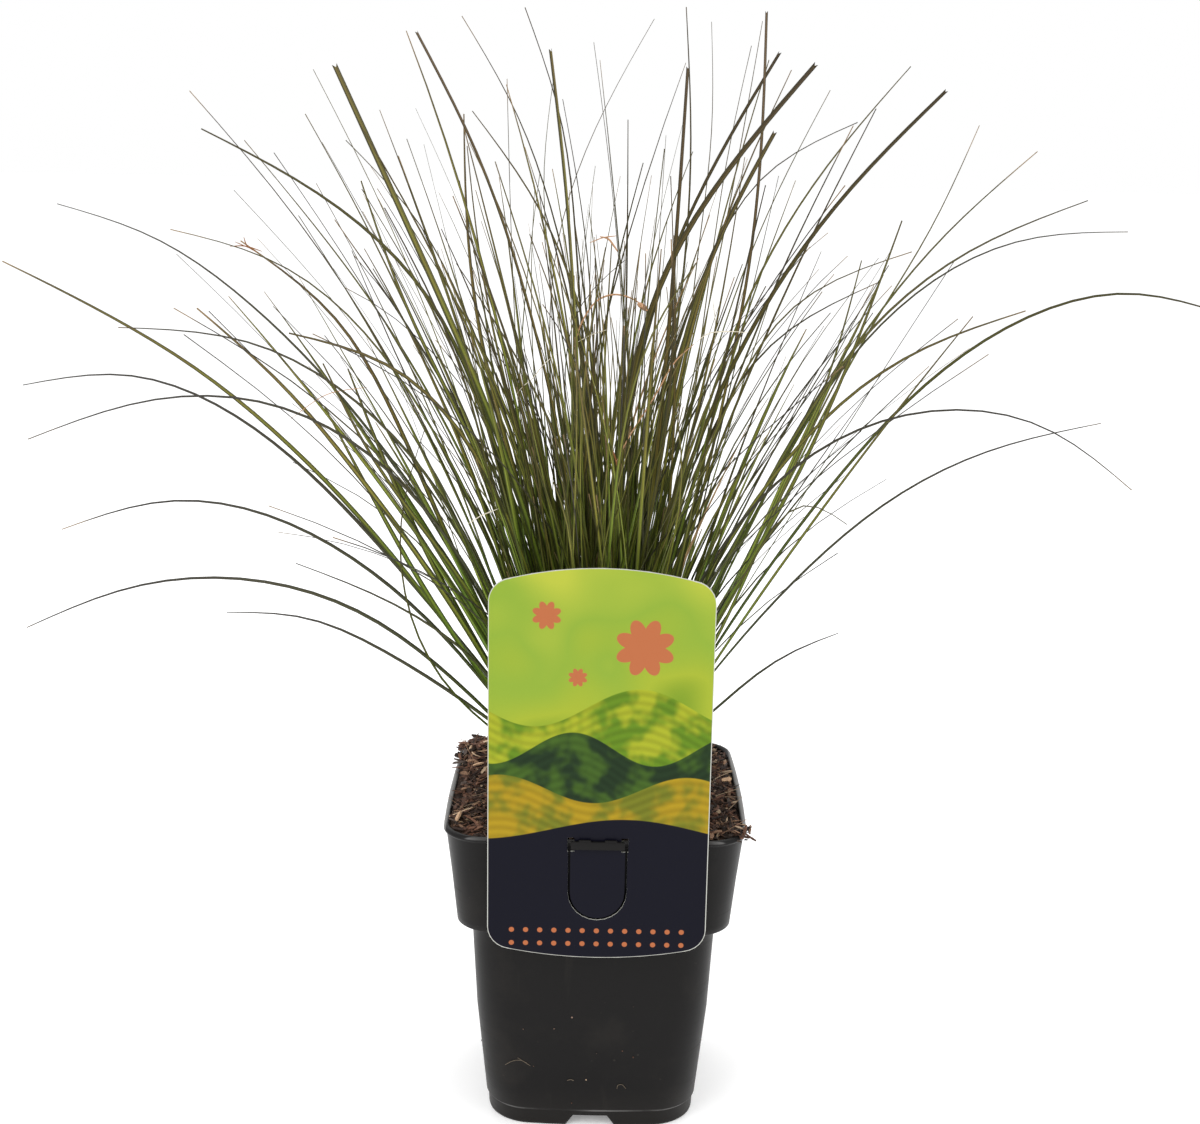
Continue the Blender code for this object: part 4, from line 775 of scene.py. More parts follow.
class Graph:
    """A material's node tree, built by expressions."""

    def __init__(self, name: str) -> None:
        """Make a material with one Principled shader."""
        self.material = bpy.data.materials.new(name)
        self.material.use_nodes = True
        self.tree = self.material.node_tree
        self.shader = self.tree.nodes["Principled BSDF"]

    def node(self, kind: str, settings: dict, inputs: dict) -> bpy.types.Node:
        """Add any node.

        Args:
            kind: the node's type.
            settings: its properties, set first; a ramp's are its "stops" as (place, colour).
            inputs: the values or links of its sockets, by name or number.

        Returns:
            The node.
        """
        made = self.tree.nodes.new(kind)
        for name, value in settings.items():
            if name == "stops":
                elements = made.color_ramp.elements
                while len(elements) < len(value):
                    elements.new(1.0)
                for element, (place, colour) in zip(elements, value):
                    element.position = place
                    element.color = (*colour, 1.0)
            else:
                setattr(made, name, value)
        for name, value in inputs.items():
            self.feed(made.inputs[name], value)
        return made

    def feed(self, socket: bpy.types.NodeSocket, value: object) -> None:
        """Link a value to a socket, or set the number or colour on it."""
        if isinstance(value, Value):
            self.tree.links.new(value.socket, socket)
        elif isinstance(value, tuple) and len(value) == 3 and socket.type == "RGBA":
            socket.default_value = (*value, 1.0)
        else:
            socket.default_value = value

    def place(self) -> tuple:
        """The point of the surface in the part's frame: the whole vector, then x, y and z."""
        made = self.node("ShaderNodeTexCoord", {}, {})
        return self.split(Value(self, made.outputs["Object"]))

    def split(self, vector: Value) -> tuple:
        """A vector, followed by its three parts."""
        made = self.node("ShaderNodeSeparateXYZ", {}, {0: vector})
        return (vector, *(Value(self, each) for each in made.outputs))

    def painted(self, name: str) -> tuple:
        """A vector attribute of the mesh, followed by its three parts."""
        made = self.node("ShaderNodeAttribute", {"attribute_name": name}, {})
        return self.split(Value(self, made.outputs["Vector"]))

    def stretched(self, vector: Value, scale: tuple) -> Value:
        """A vector with its parts multiplied."""
        made = self.node("ShaderNodeVectorMath", {"operation": "MULTIPLY"}, {0: vector, 1: scale})
        return Value(self, made.outputs[0])

    def joined(self, x: object, y: object, z: object) -> Value:
        """A vector from three parts."""
        made = self.node("ShaderNodeCombineXYZ", {}, {0: x, 1: y, 2: z})
        return Value(self, made.outputs[0])

    def cloud(self, vector: Value, scale: float, detail: float = 3.0, roughness: float = 0.55) -> Value:
        """Smooth noise from 0 to 1, about 0.5."""
        made = self.node("ShaderNodeTexNoise", {},
                         {"Vector": vector, "Scale": scale, "Detail": detail, "Roughness": roughness})
        return Value(self, made.outputs[0])

    def cells(self, vector: Value, scale: float) -> Value:
        """Distance to the nearest of many scattered points."""
        made = self.node("ShaderNodeTexVoronoi", {}, {"Vector": vector, "Scale": scale})
        return Value(self, made.outputs["Distance"])

    def ramp(self, value: Value, *stops: tuple) -> Value:
        """A colour read off a ramp."""
        made = self.node("ShaderNodeValToRGB", {"stops": stops}, {0: value})
        return Value(self, made.outputs[0])

    def blend(self, share: object, first: object, second: object) -> Value:
        """A colour between two: the first at share 0, the second at share 1."""
        made = self.node("ShaderNodeMix", {"data_type": "RGBA"}, {0: share, 6: first, 7: second})
        return Value(self, made.outputs[2])

    def shaded(self, colour: Value, level: Value) -> Value:
        """A colour made darker or lighter by a value."""
        made = self.node("ShaderNodeMix", {"data_type": "RGBA", "blend_type": "MULTIPLY"},
                         {0: 1.0, 6: colour, 7: level})
        return Value(self, made.outputs[2])

    def raised(self, height: Value, depth: float, strength: float = 1.0) -> Value:
        """A normal from a height, whose full range is a depth in metres."""
        made = self.node("ShaderNodeBump", {}, {"Height": height, "Distance": depth, "Strength": strength})
        return Value(self, made.outputs[0])

    def finish(self, **sockets: object) -> bpy.types.Material:
        """Feed the shader, with spaces for underscores in the sockets' names, and return the material."""
        for name, value in sockets.items():
            self.feed(self.shader.inputs[name.replace("_", " ")], value)
        return self.material


# Finishes.


@dataclass(frozen=True)
class LeafFinish:
    """A sedge leaf: fresh green low down, olive to bronze above, with darker edges and fine ribs.

    It is painted from its own attributes, leaf (across, along, body) and looks (tone, shade, dryness), and
    from its height above the ground.
    """

    name: str = "sedge_leaf"
    roughness: float = 0.46
    ribs: float = 22.0
    ages: tuple = ((0.0, (0.108, 0.244, 0.028)), (0.24, (0.172, 0.242, 0.030)), (0.48, (0.225, 0.212, 0.038)),
                   (0.70, (0.195, 0.140, 0.036)), (0.88, (0.165, 0.105, 0.044)), (1.0, (0.25, 0.165, 0.09)))
    straws: tuple = ((0.3, (0.26, 0.15, 0.06)), (0.7, (0.46, 0.32, 0.17)))
    rim: tuple = (0.026, 0.028, 0.012)
    grey: tuple = (0.046, 0.042, 0.036)
    sheath: tuple = (0.20, 0.15, 0.07)

    def material(self) -> bpy.types.Material:
        """Lay age, shading, dark edges, grey, dry parts and the sheath over one another."""
        graph = Graph(self.name)
        _, across, along, body = graph.painted("leaf")
        _, tone, shade, dryness = graph.painted("looks")
        place, _, _, height = graph.place()
        patches = graph.cloud(graph.stretched(place, (1.0, 1.0, 0.25)), 120.0, 2.0)
        streaks = graph.cloud(graph.joined(across * 3.0, along * 14.0, tone * 80.0), 1.0, 3.0, 0.6)
        tone = tone * (height.rises(0.18, 0.33) * 0.24 + 0.28)
        age = along * 0.32 + (height - 0.13) * 1.05 + tone + (patches - 0.5) * 0.30
        rib = (across * self.ribs).wave() * 0.5 + 0.5
        # Painted shade: the fold's middle line is drawn darker, as shade in its crease.
        keel = 1 - across.size().rises(0.02, 0.20)
        # Painted shade: the half of the fold on one side is drawn darker, as if turned away from the light.
        half = across.rises(-0.12, 0.12) * 0.30 + 0.70
        level = shade * half * (0.80 + rib * 0.14 + streaks * 0.40) * (1 - keel * 0.35)
        colour = graph.shaded(graph.ramp(age, *self.ages), level)
        edge = across.size().rises(0.34, 0.82) * (height.rises(0.15, 0.25) * 0.24 + 0.60)
        colour = graph.blend(edge, colour, self.rim)
        grey = (body - 1.0).rises(0.0, 1.0) * along.rises(0.10, 0.45) * 0.72 + along.rises(0.50, 1.0) * 0.38
        colour = graph.blend(grey.least(1.0), colour, self.grey)
        dry = (dryness + (patches - 0.5) * 0.35).rises(0.35, 0.75)
        colour = graph.blend(dry, colour, graph.ramp(streaks, *self.straws))
        low = (1 - height.rises(0.118, 0.138)) * (1 - body).most(0.0)
        colour = graph.blend(low * 0.7, colour, self.sheath)
        return graph.finish(Base_Color=colour, Roughness=self.roughness + rib * 0.12,
                            Normal=graph.raised(rib, 0.00004, 0.6), Specular_IOR_Level=0.13)


@dataclass(frozen=True)
class PlasticFinish:
    """Satin black moulded plastic: cloudy gloss, fine scratches, dust low down, and a pale line on the lip
    that is partly wear and partly painted highlight, strongest towards the left and right sides.

    Each pair of lengths says where a pale place begins and where it is full.
    """

    name: str = "black_plastic"
    colour: tuple = (0.0068, 0.0062, 0.0061)
    dust: tuple = (0.036, 0.031, 0.026)
    wear_and_sheen: tuple = (0.24, 0.235, 0.23)
    wear_and_sheen_strength: float = 1.0
    lip_out: tuple = (53.6 * MM, 54.3 * MM)
    lip_up: tuple = (120.8 * MM, 121.4 * MM)
    ledge_up: tuple = (6.1 * MM, 6.3 * MM)
    ledge_end: tuple = (6.9 * MM, 7.2 * MM)
    beside: tuple = (40.0 * MM, 52.0 * MM)

    def material(self) -> bpy.types.Material:
        """Build the plastic on Object coordinates."""
        graph = Graph(self.name)
        place, x, y, height = graph.place()
        cloud = graph.cloud(place, 38.0, 4.0)
        grain = graph.cloud(place, 900.0, 2.0)
        scratches = graph.cloud(graph.stretched(place, (40.0, 40.0, 700.0)), 1.0, 3.0, 0.7)
        streak = graph.cloud(graph.stretched(place, (60.0, 60.0, 7.0)), 3.0, 4.0, 0.7)
        specks = 1 - graph.cells(place, 210.0).rises(0.05, 0.13)
        spots = specks * graph.cloud(place, 55.0).rises(0.52, 0.62)
        dusty = (cloud.rises(0.52, 0.78) * 0.22 + streak.rises(0.60, 0.8) * 0.20
                 + (1 - height.rises(0.002, 0.020)) * 0.18 + spots * 0.55)
        colour = graph.blend(dusty, self.colour, self.dust)
        # Painted highlight and wear: a pale line round the lip's outer top, made stronger towards the left
        # and right sides where a sheen falls; the ledge over the foot ring gets a patchy pale band.
        lip = x.size().most(y.size()).rises(*self.lip_out) * height.rises(*self.lip_up) * self.wear_and_sheen_strength
        ledge = height.rises(*self.ledge_up) * (1 - height.rises(*self.ledge_end)) * self.wear_and_sheen_strength
        sheen_toward_sides = 0.3 + 0.7 * x.size().rises(*self.beside)
        wear_and_sheen = (lip * sheen_toward_sides * (0.45 + graph.cloud(place, 90.0) * 0.6)
                + ledge * cloud.rises(0.38, 0.62) * 0.55)
        colour = graph.blend(wear_and_sheen.least(1.0), colour, self.wear_and_sheen)
        rough = 0.33 + cloud * 0.12 + scratches.rises(0.55, 0.75) * 0.10 + dusty * 0.2
        bump = graph.raised(grain * 0.5 + scratches * 0.5, 0.00006, 0.5)
        return graph.finish(Base_Color=colour, Roughness=rough, Normal=bump, Specular_IOR_Level=0.13)


@dataclass(frozen=True)
class SoilFinish:
    """Damp potting soil: dark fibrous ground."""

    name: str = "potting_soil"

    def material(self) -> bpy.types.Material:
        """Build the ground between the shreds."""
        graph = Graph(self.name)
        place = graph.place()[0]
        crumbs = graph.cells(place, 620.0)
        fibres = graph.cloud(graph.stretched(place, (900.0, 260.0, 500.0)), 1.0, 4.0, 0.7)
        tint = graph.cloud(place, 260.0, 3.0)
        colour = graph.ramp(tint * 0.6 + fibres * 0.4, (0.30, (0.010, 0.007, 0.005)),
                            (0.52, (0.036, 0.021, 0.014)), (0.70, (0.090, 0.048, 0.030)),
                            (0.85, (0.17, 0.10, 0.062)))
        height = fibres * 0.6 - crumbs * 0.8
        return graph.finish(Base_Color=colour, Roughness=0.92, Normal=graph.raised(height, 0.0012),
                            Specular_IOR_Level=0.2)


@dataclass(frozen=True)
class ShredFinish:
    """Bark shreds, crumbs and fibres, painted by the attribute looks (red, green, blue)."""

    name: str = "bark_shreds"
    grain: float = 1400.0

    def material(self) -> bpy.types.Material:
        """Take each piece's own colour, streaked along it."""
        graph = Graph(self.name)
        made = graph.node("ShaderNodeAttribute", {"attribute_name": "looks"}, {})
        own = Value(graph, made.outputs["Vector"])
        place = graph.place()[0]
        streaks = graph.cloud(place, self.grain, 3.0, 0.7)
        colour = graph.shaded(own, 0.55 + streaks * 0.95)
        return graph.finish(Base_Color=colour, Roughness=0.75 + streaks * 0.2,
                            Normal=graph.raised(streaks, 0.0003), Specular_IOR_Level=0.3)


@dataclass(frozen=True)
class CardFinish:
    """The printed card: flowers in a soft sky over rolling fields, a dark ground and rows of dots.

    Measures are in millimetres from the card's middle and from the ground. A flower is (across, up, reach), a
    hill is (height, swing, pace and start of its wave, near colour, far colour).
    """

    name: str = "printed_card"
    navy: tuple = (0.0050, 0.0050, 0.0105)
    clay: tuple = (0.40, 0.125, 0.050)
    cut: tuple = (0.50, 0.50, 0.46)
    sky: tuple = ((0.25, (0.10, 0.21, 0.015)), (0.45, (0.30, 0.36, 0.03)), (0.62, (0.22, 0.33, 0.035)),
                  (0.82, (0.38, 0.42, 0.045)))
    flowers: tuple = ((15.0, 194.0, 10.5), (-19.0, 205.0, 5.2), (-8.0, 183.0, 3.4))
    hills: tuple = ((172.0, 7.0, 0.085, 0.4, (0.10, 0.19, 0.012), (0.30, 0.33, 0.02)),
                    (157.0, 6.0, 0.11, 2.6, (0.014, 0.030, 0.012), (0.045, 0.095, 0.014)),
                    (142.0, 5.0, 0.095, 4.9, (0.33, 0.22, 0.012), (0.14, 0.15, 0.014)))
    ground: tuple = (127.0, 4.0, 0.06, 1.0)
    dots_from: float = 81.5
    dots_to: float = 91.0
    dots_reach: float = 32.5

    def material(self) -> bpy.types.Material:
        """Print the card from the sky down to the dots, then its margin and its cut sides."""
        graph = Graph(self.name)
        place, x, _, z = graph.place()
        across, up = x * 1000.0 - CARD_CENTRE_X / MM, z * 1000.0
        flat = graph.stretched(place, (1.0, 0.0, 1.0))
        soft, small = graph.cloud(flat, 26.0, 1.0), graph.cloud(flat, 90.0, 2.0)
        colour = graph.ramp(soft * 0.8 + (up - 150.0) * 0.0045, *self.sky)
        for at_x, at_z, size in self.flowers:
            colour = graph.blend(self.rosette(across - at_x, up - at_z, size), colour, self.clay)
        for *wave, near, far in self.hills:
            above = self.above(across, up, *wave)
            field = graph.blend(small.rises(0.4, 0.62), near, far)
            rows = (above * 1.9 + (across * 0.05).wave() * 2.0).wave() * 0.10 + 0.95
            colour = graph.blend(1 - above.rises(-0.25, 0.25), colour, graph.shaded(field, rows))
        dark = 1 - self.above(across, up, *self.ground).rises(-0.2, 0.2)
        colour = graph.blend(dark, colour, self.navy)
        colour = graph.blend(self.dots(across, up), colour, self.clay)
        colour = graph.blend(self.margin(across, up), colour, self.cut)
        side = graph.node("ShaderNodeNewGeometry", {}, {})
        facing = graph.split(Value(graph, side.outputs["True Normal"]))[2].size()
        colour = graph.blend(1 - facing.rises(0.4, 0.6), colour, self.cut)
        fine = graph.cloud(place, 700.0, 2.0)
        return graph.finish(Base_Color=colour, Roughness=0.30 + small * 0.08,
                            Normal=graph.raised(fine, 0.00002, 0.4), Specular_IOR_Level=0.08)

    @staticmethod
    def above(across: Value, up: Value, height: float, swing: float, pace: float, start: float) -> Value:
        """How far a point lies above a wavy line."""
        return up - ((across * pace + start).wave() * swing + height)

    @staticmethod
    def rosette(across: Value, up: Value, size: float) -> Value:
        """A flower of eight petals: its reach swings with the angle about its middle."""
        petals = (up.maths("ARCTAN2", across) * 4.0).wave().size()
        return 1 - ((across ** 2.0 + up ** 2.0) ** 0.5 - (petals * 0.34 + 0.66) * size).rises(-0.2, 0.2)

    def dots(self, across: Value, up: Value) -> Value:
        """Rows of small dots inside a band: the product of two waves, cut off near its tops."""
        wave = (across * 0.62 + math.pi / 2).wave() * (up * 0.62 + 0.11).wave()
        band = (up - self.dots_from).rises(-0.1, 0.1) * (1 - (up - self.dots_to).rises(-0.1, 0.1))
        inside = 1 - (across.size() - self.dots_reach).rises(-0.1, 0.1)
        return wave.size().rises(0.80, 0.88) * band * inside

    @staticmethod
    def margin(across: Value, up: Value) -> Value:
        """The pale line along the card's cut edge: the distance to its rounded outline."""
        half, high = CARD_HALF / MM, (CARD_TOP - CARD_BOTTOM) / MM / 2
        corner = CARD_CORNER / MM
        rise = up - (CARD_TOP + CARD_BOTTOM) / MM / 2
        bow = (across.size() / (half - corner + 1.2)).least(1.0) ** 2.0 * (rise.rises(-1.0, 1.0) + 3.0)
        away_x = (across.size() - (half - corner)).most(0.0)
        away_z = (rise.size() + bow - (high - corner)).most(0.0)
        distance = (away_x ** 2.0 + away_z ** 2.0) ** 0.5
        return distance.rises(corner - 0.36, corner - 0.22)


# Meshes.


def lattice_noise(points: np.ndarray, size: float, seed: int) -> np.ndarray:
    """Smooth noise from -1 to 1: random values at the corners of cubes, blended by a cubic ease.

    Args:
        points: where to read it, one a row.
        size: the cubes' side.
        seed: another number gives another noise.

    Returns:
        One value for each point.
    """
    scaled = points / size
    cell = np.floor(scaled).astype(np.int64)
    ease = (scaled - cell) ** 2 * (3 - 2 * (scaled - cell))
    total = np.zeros(len(points))
    for corner in np.ndindex(2, 2, 2):
        at = (cell + corner).astype(np.uint64)
        mixed = (at[:, 0] * np.uint64(73856093)) ^ (at[:, 1] * np.uint64(19349663))
        mixed ^= (at[:, 2] * np.uint64(83492791)) ^ np.uint64(seed * 2654435761 % 2 ** 32)
        mixed = (mixed ^ (mixed >> np.uint64(13))) * np.uint64(0x9E3779B97F4A7C15)
        value = (mixed >> np.uint64(40)).astype(float) / 2 ** 23 - 1.0
        weight = np.where(corner, ease, 1 - ease).prod(axis=1)
        total += value * weight
    return total


class Surface:
    """A mesh in the making: tubes and sheets, each point with its own painted values."""

    def __init__(self, *painted: str) -> None:
        """Start empty.

        Args:
            painted: names of the vector attributes.
        """
        self.names = painted
        self.points = []
        self.faces = []
        self.values = {name: [] for name in painted}
        self.count = 0
        self.columns = []

    def add_tube(self, rings: np.ndarray, caps: bool = True, **values: np.ndarray) -> None:
        """Add a closed tube: rings of points joined by four-sided faces, with a face over each end.

        Args:
            rings: the points, as ring, place in the ring, coordinate.
            caps: whether the ends are closed.
            values: the painted values, in the same layout, or one row for the whole tube.
        """
        length, around = rings.shape[:2]
        index = self.count + np.arange(length * around).reshape(length, around)
        turned = np.roll(index, -1, axis=1)
        quads = np.stack((index[:-1], turned[:-1], turned[1:], index[1:]), axis=-1).reshape(-1, 4)
        self.faces.extend(quads.tolist())
        if caps:
            self.faces.append(index[0][::-1].tolist())
            self.faces.append(index[-1].tolist())
        self.points.append(rings.reshape(-1, 3))
        for name in self.names:
            self.values[name].append(np.broadcast_to(values[name], (length, around, 3)).reshape(-1, 3))
        self.columns.append(np.tile(np.arange(around), length))
        self.count += length * around

    def build(self, name: str, material: bpy.types.Material, crease: bool = False,
              smooth: bool = True) -> bpy.types.Object:
        """Make the object.

        Args:
            name: the piece's name.
            material: its finish.
            crease: whether the edges along the tubes stay sharp.
            smooth: whether the faces are shaded smooth.

        Returns:
            The object, at the origin.
        """
        mesh = bpy.data.meshes.new(name)
        points = np.concatenate(self.points)
        mesh.from_pydata(points.tolist(), [], self.faces)
        for each in self.names:
            layer = mesh.attributes.new(each, "FLOAT_VECTOR", "POINT")
            layer.data.foreach_set("vector", np.concatenate(self.values[each]).astype(np.float32).ravel())
        mesh.polygons.foreach_set("use_smooth", np.full(len(mesh.polygons), smooth))
        if crease:
            ends = np.zeros(len(mesh.edges) * 2, dtype=np.int64)
            mesh.edges.foreach_get("vertices", ends)
            column = np.concatenate(self.columns)[ends.reshape(-1, 2)]
            sharp = mesh.attributes.new("sharp_edge", "BOOLEAN", "EDGE")
            sharp.data.foreach_set("value", column[:, 0] == column[:, 1])
        mesh.materials.append(material)
        mesh.update()
        made = bpy.data.objects.new(name, mesh)
        bpy.context.scene.collection.objects.link(made)
        return made


def settle(piece: bpy.types.Object, instead_of: str = "") -> None:
    """Let a piece ride on the root body.

    Args:
        piece: the piece.
        instead_of: the part's node that it replaces, if any.
    """
    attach(piece, "root")
    if instead_of:
        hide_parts(instead_of)
    LOG.info("%s: %d faces", piece.name, len(piece.data.polygons))


def path_frames(points: np.ndarray, side: np.ndarray, turns: np.ndarray) -> tuple:
    """Turn a level side vector along a path, so that a section can be carried along it.

    Args:
        points: the path, one point a row.
        side: a rough direction across the path.
        turns: how far the section is turned about the path at each point, in radians.

    Returns:
        The directions across and up at each point.
    """
    runs = np.gradient(points, axis=0)
    runs /= np.maximum(np.linalg.norm(runs, axis=1), 1e-12)[:, None]
    across = side - runs * (runs @ side)[:, None]
    across /= np.maximum(np.linalg.norm(across, axis=1), 1e-12)[:, None]
    up = np.cross(across, runs)
    cosine, sine = np.cos(turns)[:, None], np.sin(turns)[:, None]
    return across * cosine + up * sine, up * cosine - across * sine


def swept(points: np.ndarray, across: np.ndarray, up: np.ndarray, halves: np.ndarray,
          profile: np.ndarray) -> np.ndarray:
    """Carry a profile along a path: each ring is the path's point plus the profile times the half width.

    Args:
        points: the path, one point a row.
        across: the profile's first axis at each point.
        up: its second axis at each point.
        halves: the half width at each point.
        profile: the profile's points as (across, up) in half widths.

    Returns:
        The rings, as ring, place in the ring, coordinate.
    """
    offsets = (across[:, None, :] * profile[None, :, :1] + up[:, None, :] * profile[None, :, 1:])
    return points[:, None, :] + offsets * halves[:, None, None]


@dataclass(frozen=True)
class Section:
    """A leaf's section: its outline (across, up) in half widths, and what each point paints as across."""

    outline: np.ndarray
    across: np.ndarray


FOLDED = Section(np.array(((-1.0, 0.50), (0.0, 0.0), (1.0, 0.50), (0.96, 0.34), (0.0, -0.26), (-0.96, 0.34))),
                 np.array((-1.0, 0.0, 1.0, 1.0, 0.0, -1.0)))
CREASED = Section(np.array(((-1.0, 0.42), (0.0, 0.02), (1.0, 0.42), (0.0, -0.30))),
                  np.array((-1.0, 0.0, 1.0, 0.0)))
ROUNDISH = Section(np.array(((-0.87, -0.5), (0.87, -0.5), (0.0, 1.0))), np.array((-0.6, 0.6, 0.0)))
SLIVER = np.array(((-1.0, -0.5), (1.0, -0.5), (0.0, 0.8)))


@dataclass(frozen=True)
class Habit:
    """How a kind of the part's leaves is made fine.

    Of each pair the first holds for a leaf that leans no more than the first of leans, in degrees, and the
    second for one that leans no less than the second. Between them it changes evenly.
    """

    section: Section
    leans: tuple
    fineness: tuple
    greyness: tuple
    brightest: tuple
    segment: float
    narrows_from: float
    turn: float = 1.0
    turn_power: float = 0.6
    sways: bool = False

    def at(self, pair: tuple, lean: float) -> float:
        """Read a pair at a lean in radians."""
        return float(np.interp(lean, np.radians(self.leans), pair))


THICK = Habit(FOLDED, (30.0, 52.0), (1.22, 1.22), (0.0, 0.0), (2.0, 2.0), 7.8 * MM, 0.45)
THIN = Habit(CREASED, (30.0, 52.0), (0.90, 1.05), (0.2, 1.0), (0.90, 0.55), 7.8 * MM, 0.45, 1.2, 0.3)
FILLER = Habit(CREASED, (12.0, 30.0), (0.85, 0.52), (0.0, 0.8), (2.0, 2.0), 13.0 * MM, 0.30, sways=True)
THICK_FROM = 1.65 * MM


@dataclass(frozen=True)
class Growth:
    """How a kind of extra leaf grows: lengths and widths as (least, likely, most), angles in degrees.

    lean is how far it leans to the right, follows how much of its shoot's own lean it adds, slope where on
    the sheath it starts, and taper where it starts to narrow, the share of its width at the tip, and the
    power.
    """

    count: int
    length: tuple
    width: tuple
    lean: float
    lean_spread: float
    depth_spread: float
    follows: float
    bend: tuple
    taper: tuple
    tones: tuple = ()
    greyness: float = 0.0
    slope: tuple = (0.1, 0.9)


BASAL = Growth(4, (60 * MM, 115 * MM, 190 * MM), (1.6 * MM, 2.1 * MM, 2.9 * MM), -1.5, 6.0, 8.0, 0.40,
               (2.0, 8.0, 22.0), (0.45, 0.16, 1.2), (Tone.BRIGHT, Tone.GREEN, Tone.SHADY, Tone.BRIGHT))
SLIM = Growth(2, (130 * MM, 190 * MM, 290 * MM), (1.0 * MM, 1.35 * MM, 1.9 * MM), -1.5, 4.5, 14.0, 0.0,
              (2.0, 9.0, 30.0), (0.5, 0.24, 1.2))
CROSSING = Growth(1, (120 * MM, 170 * MM, 260 * MM), (1.0 * MM, 1.3 * MM, 1.7 * MM), 0.0, 7.0, 12.0, -0.55,
                  (4.0, 16.0, 40.0), (0.5, 0.26, 1.2), (Tone.DARK, Tone.OLIVE, Tone.GREEN, Tone.SHADY))
HAIR = Growth(1, (150 * MM, 220 * MM, 300 * MM), (0.5 * MM, 0.6 * MM, 0.8 * MM), -2.0, 10.0, 18.0, 0.0,
              (15.0, 40.0, 80.0), (0.3, 0.6, 1.0), (Tone.DARK,), 1.0)
LEFT_SIDE = Growth(1, (130 * MM, 170 * MM, 230 * MM), (1.7 * MM, 2.2 * MM, 2.7 * MM), -27.0, 3.0, 8.0, 0.1,
                   (2.0, 6.0, 16.0), (0.4, 0.16, 1.2), (Tone.BRIGHT, Tone.GREEN, Tone.GREEN))
SIDE_REACH = -9.5 * MM
DRY_SHARE = 0.012


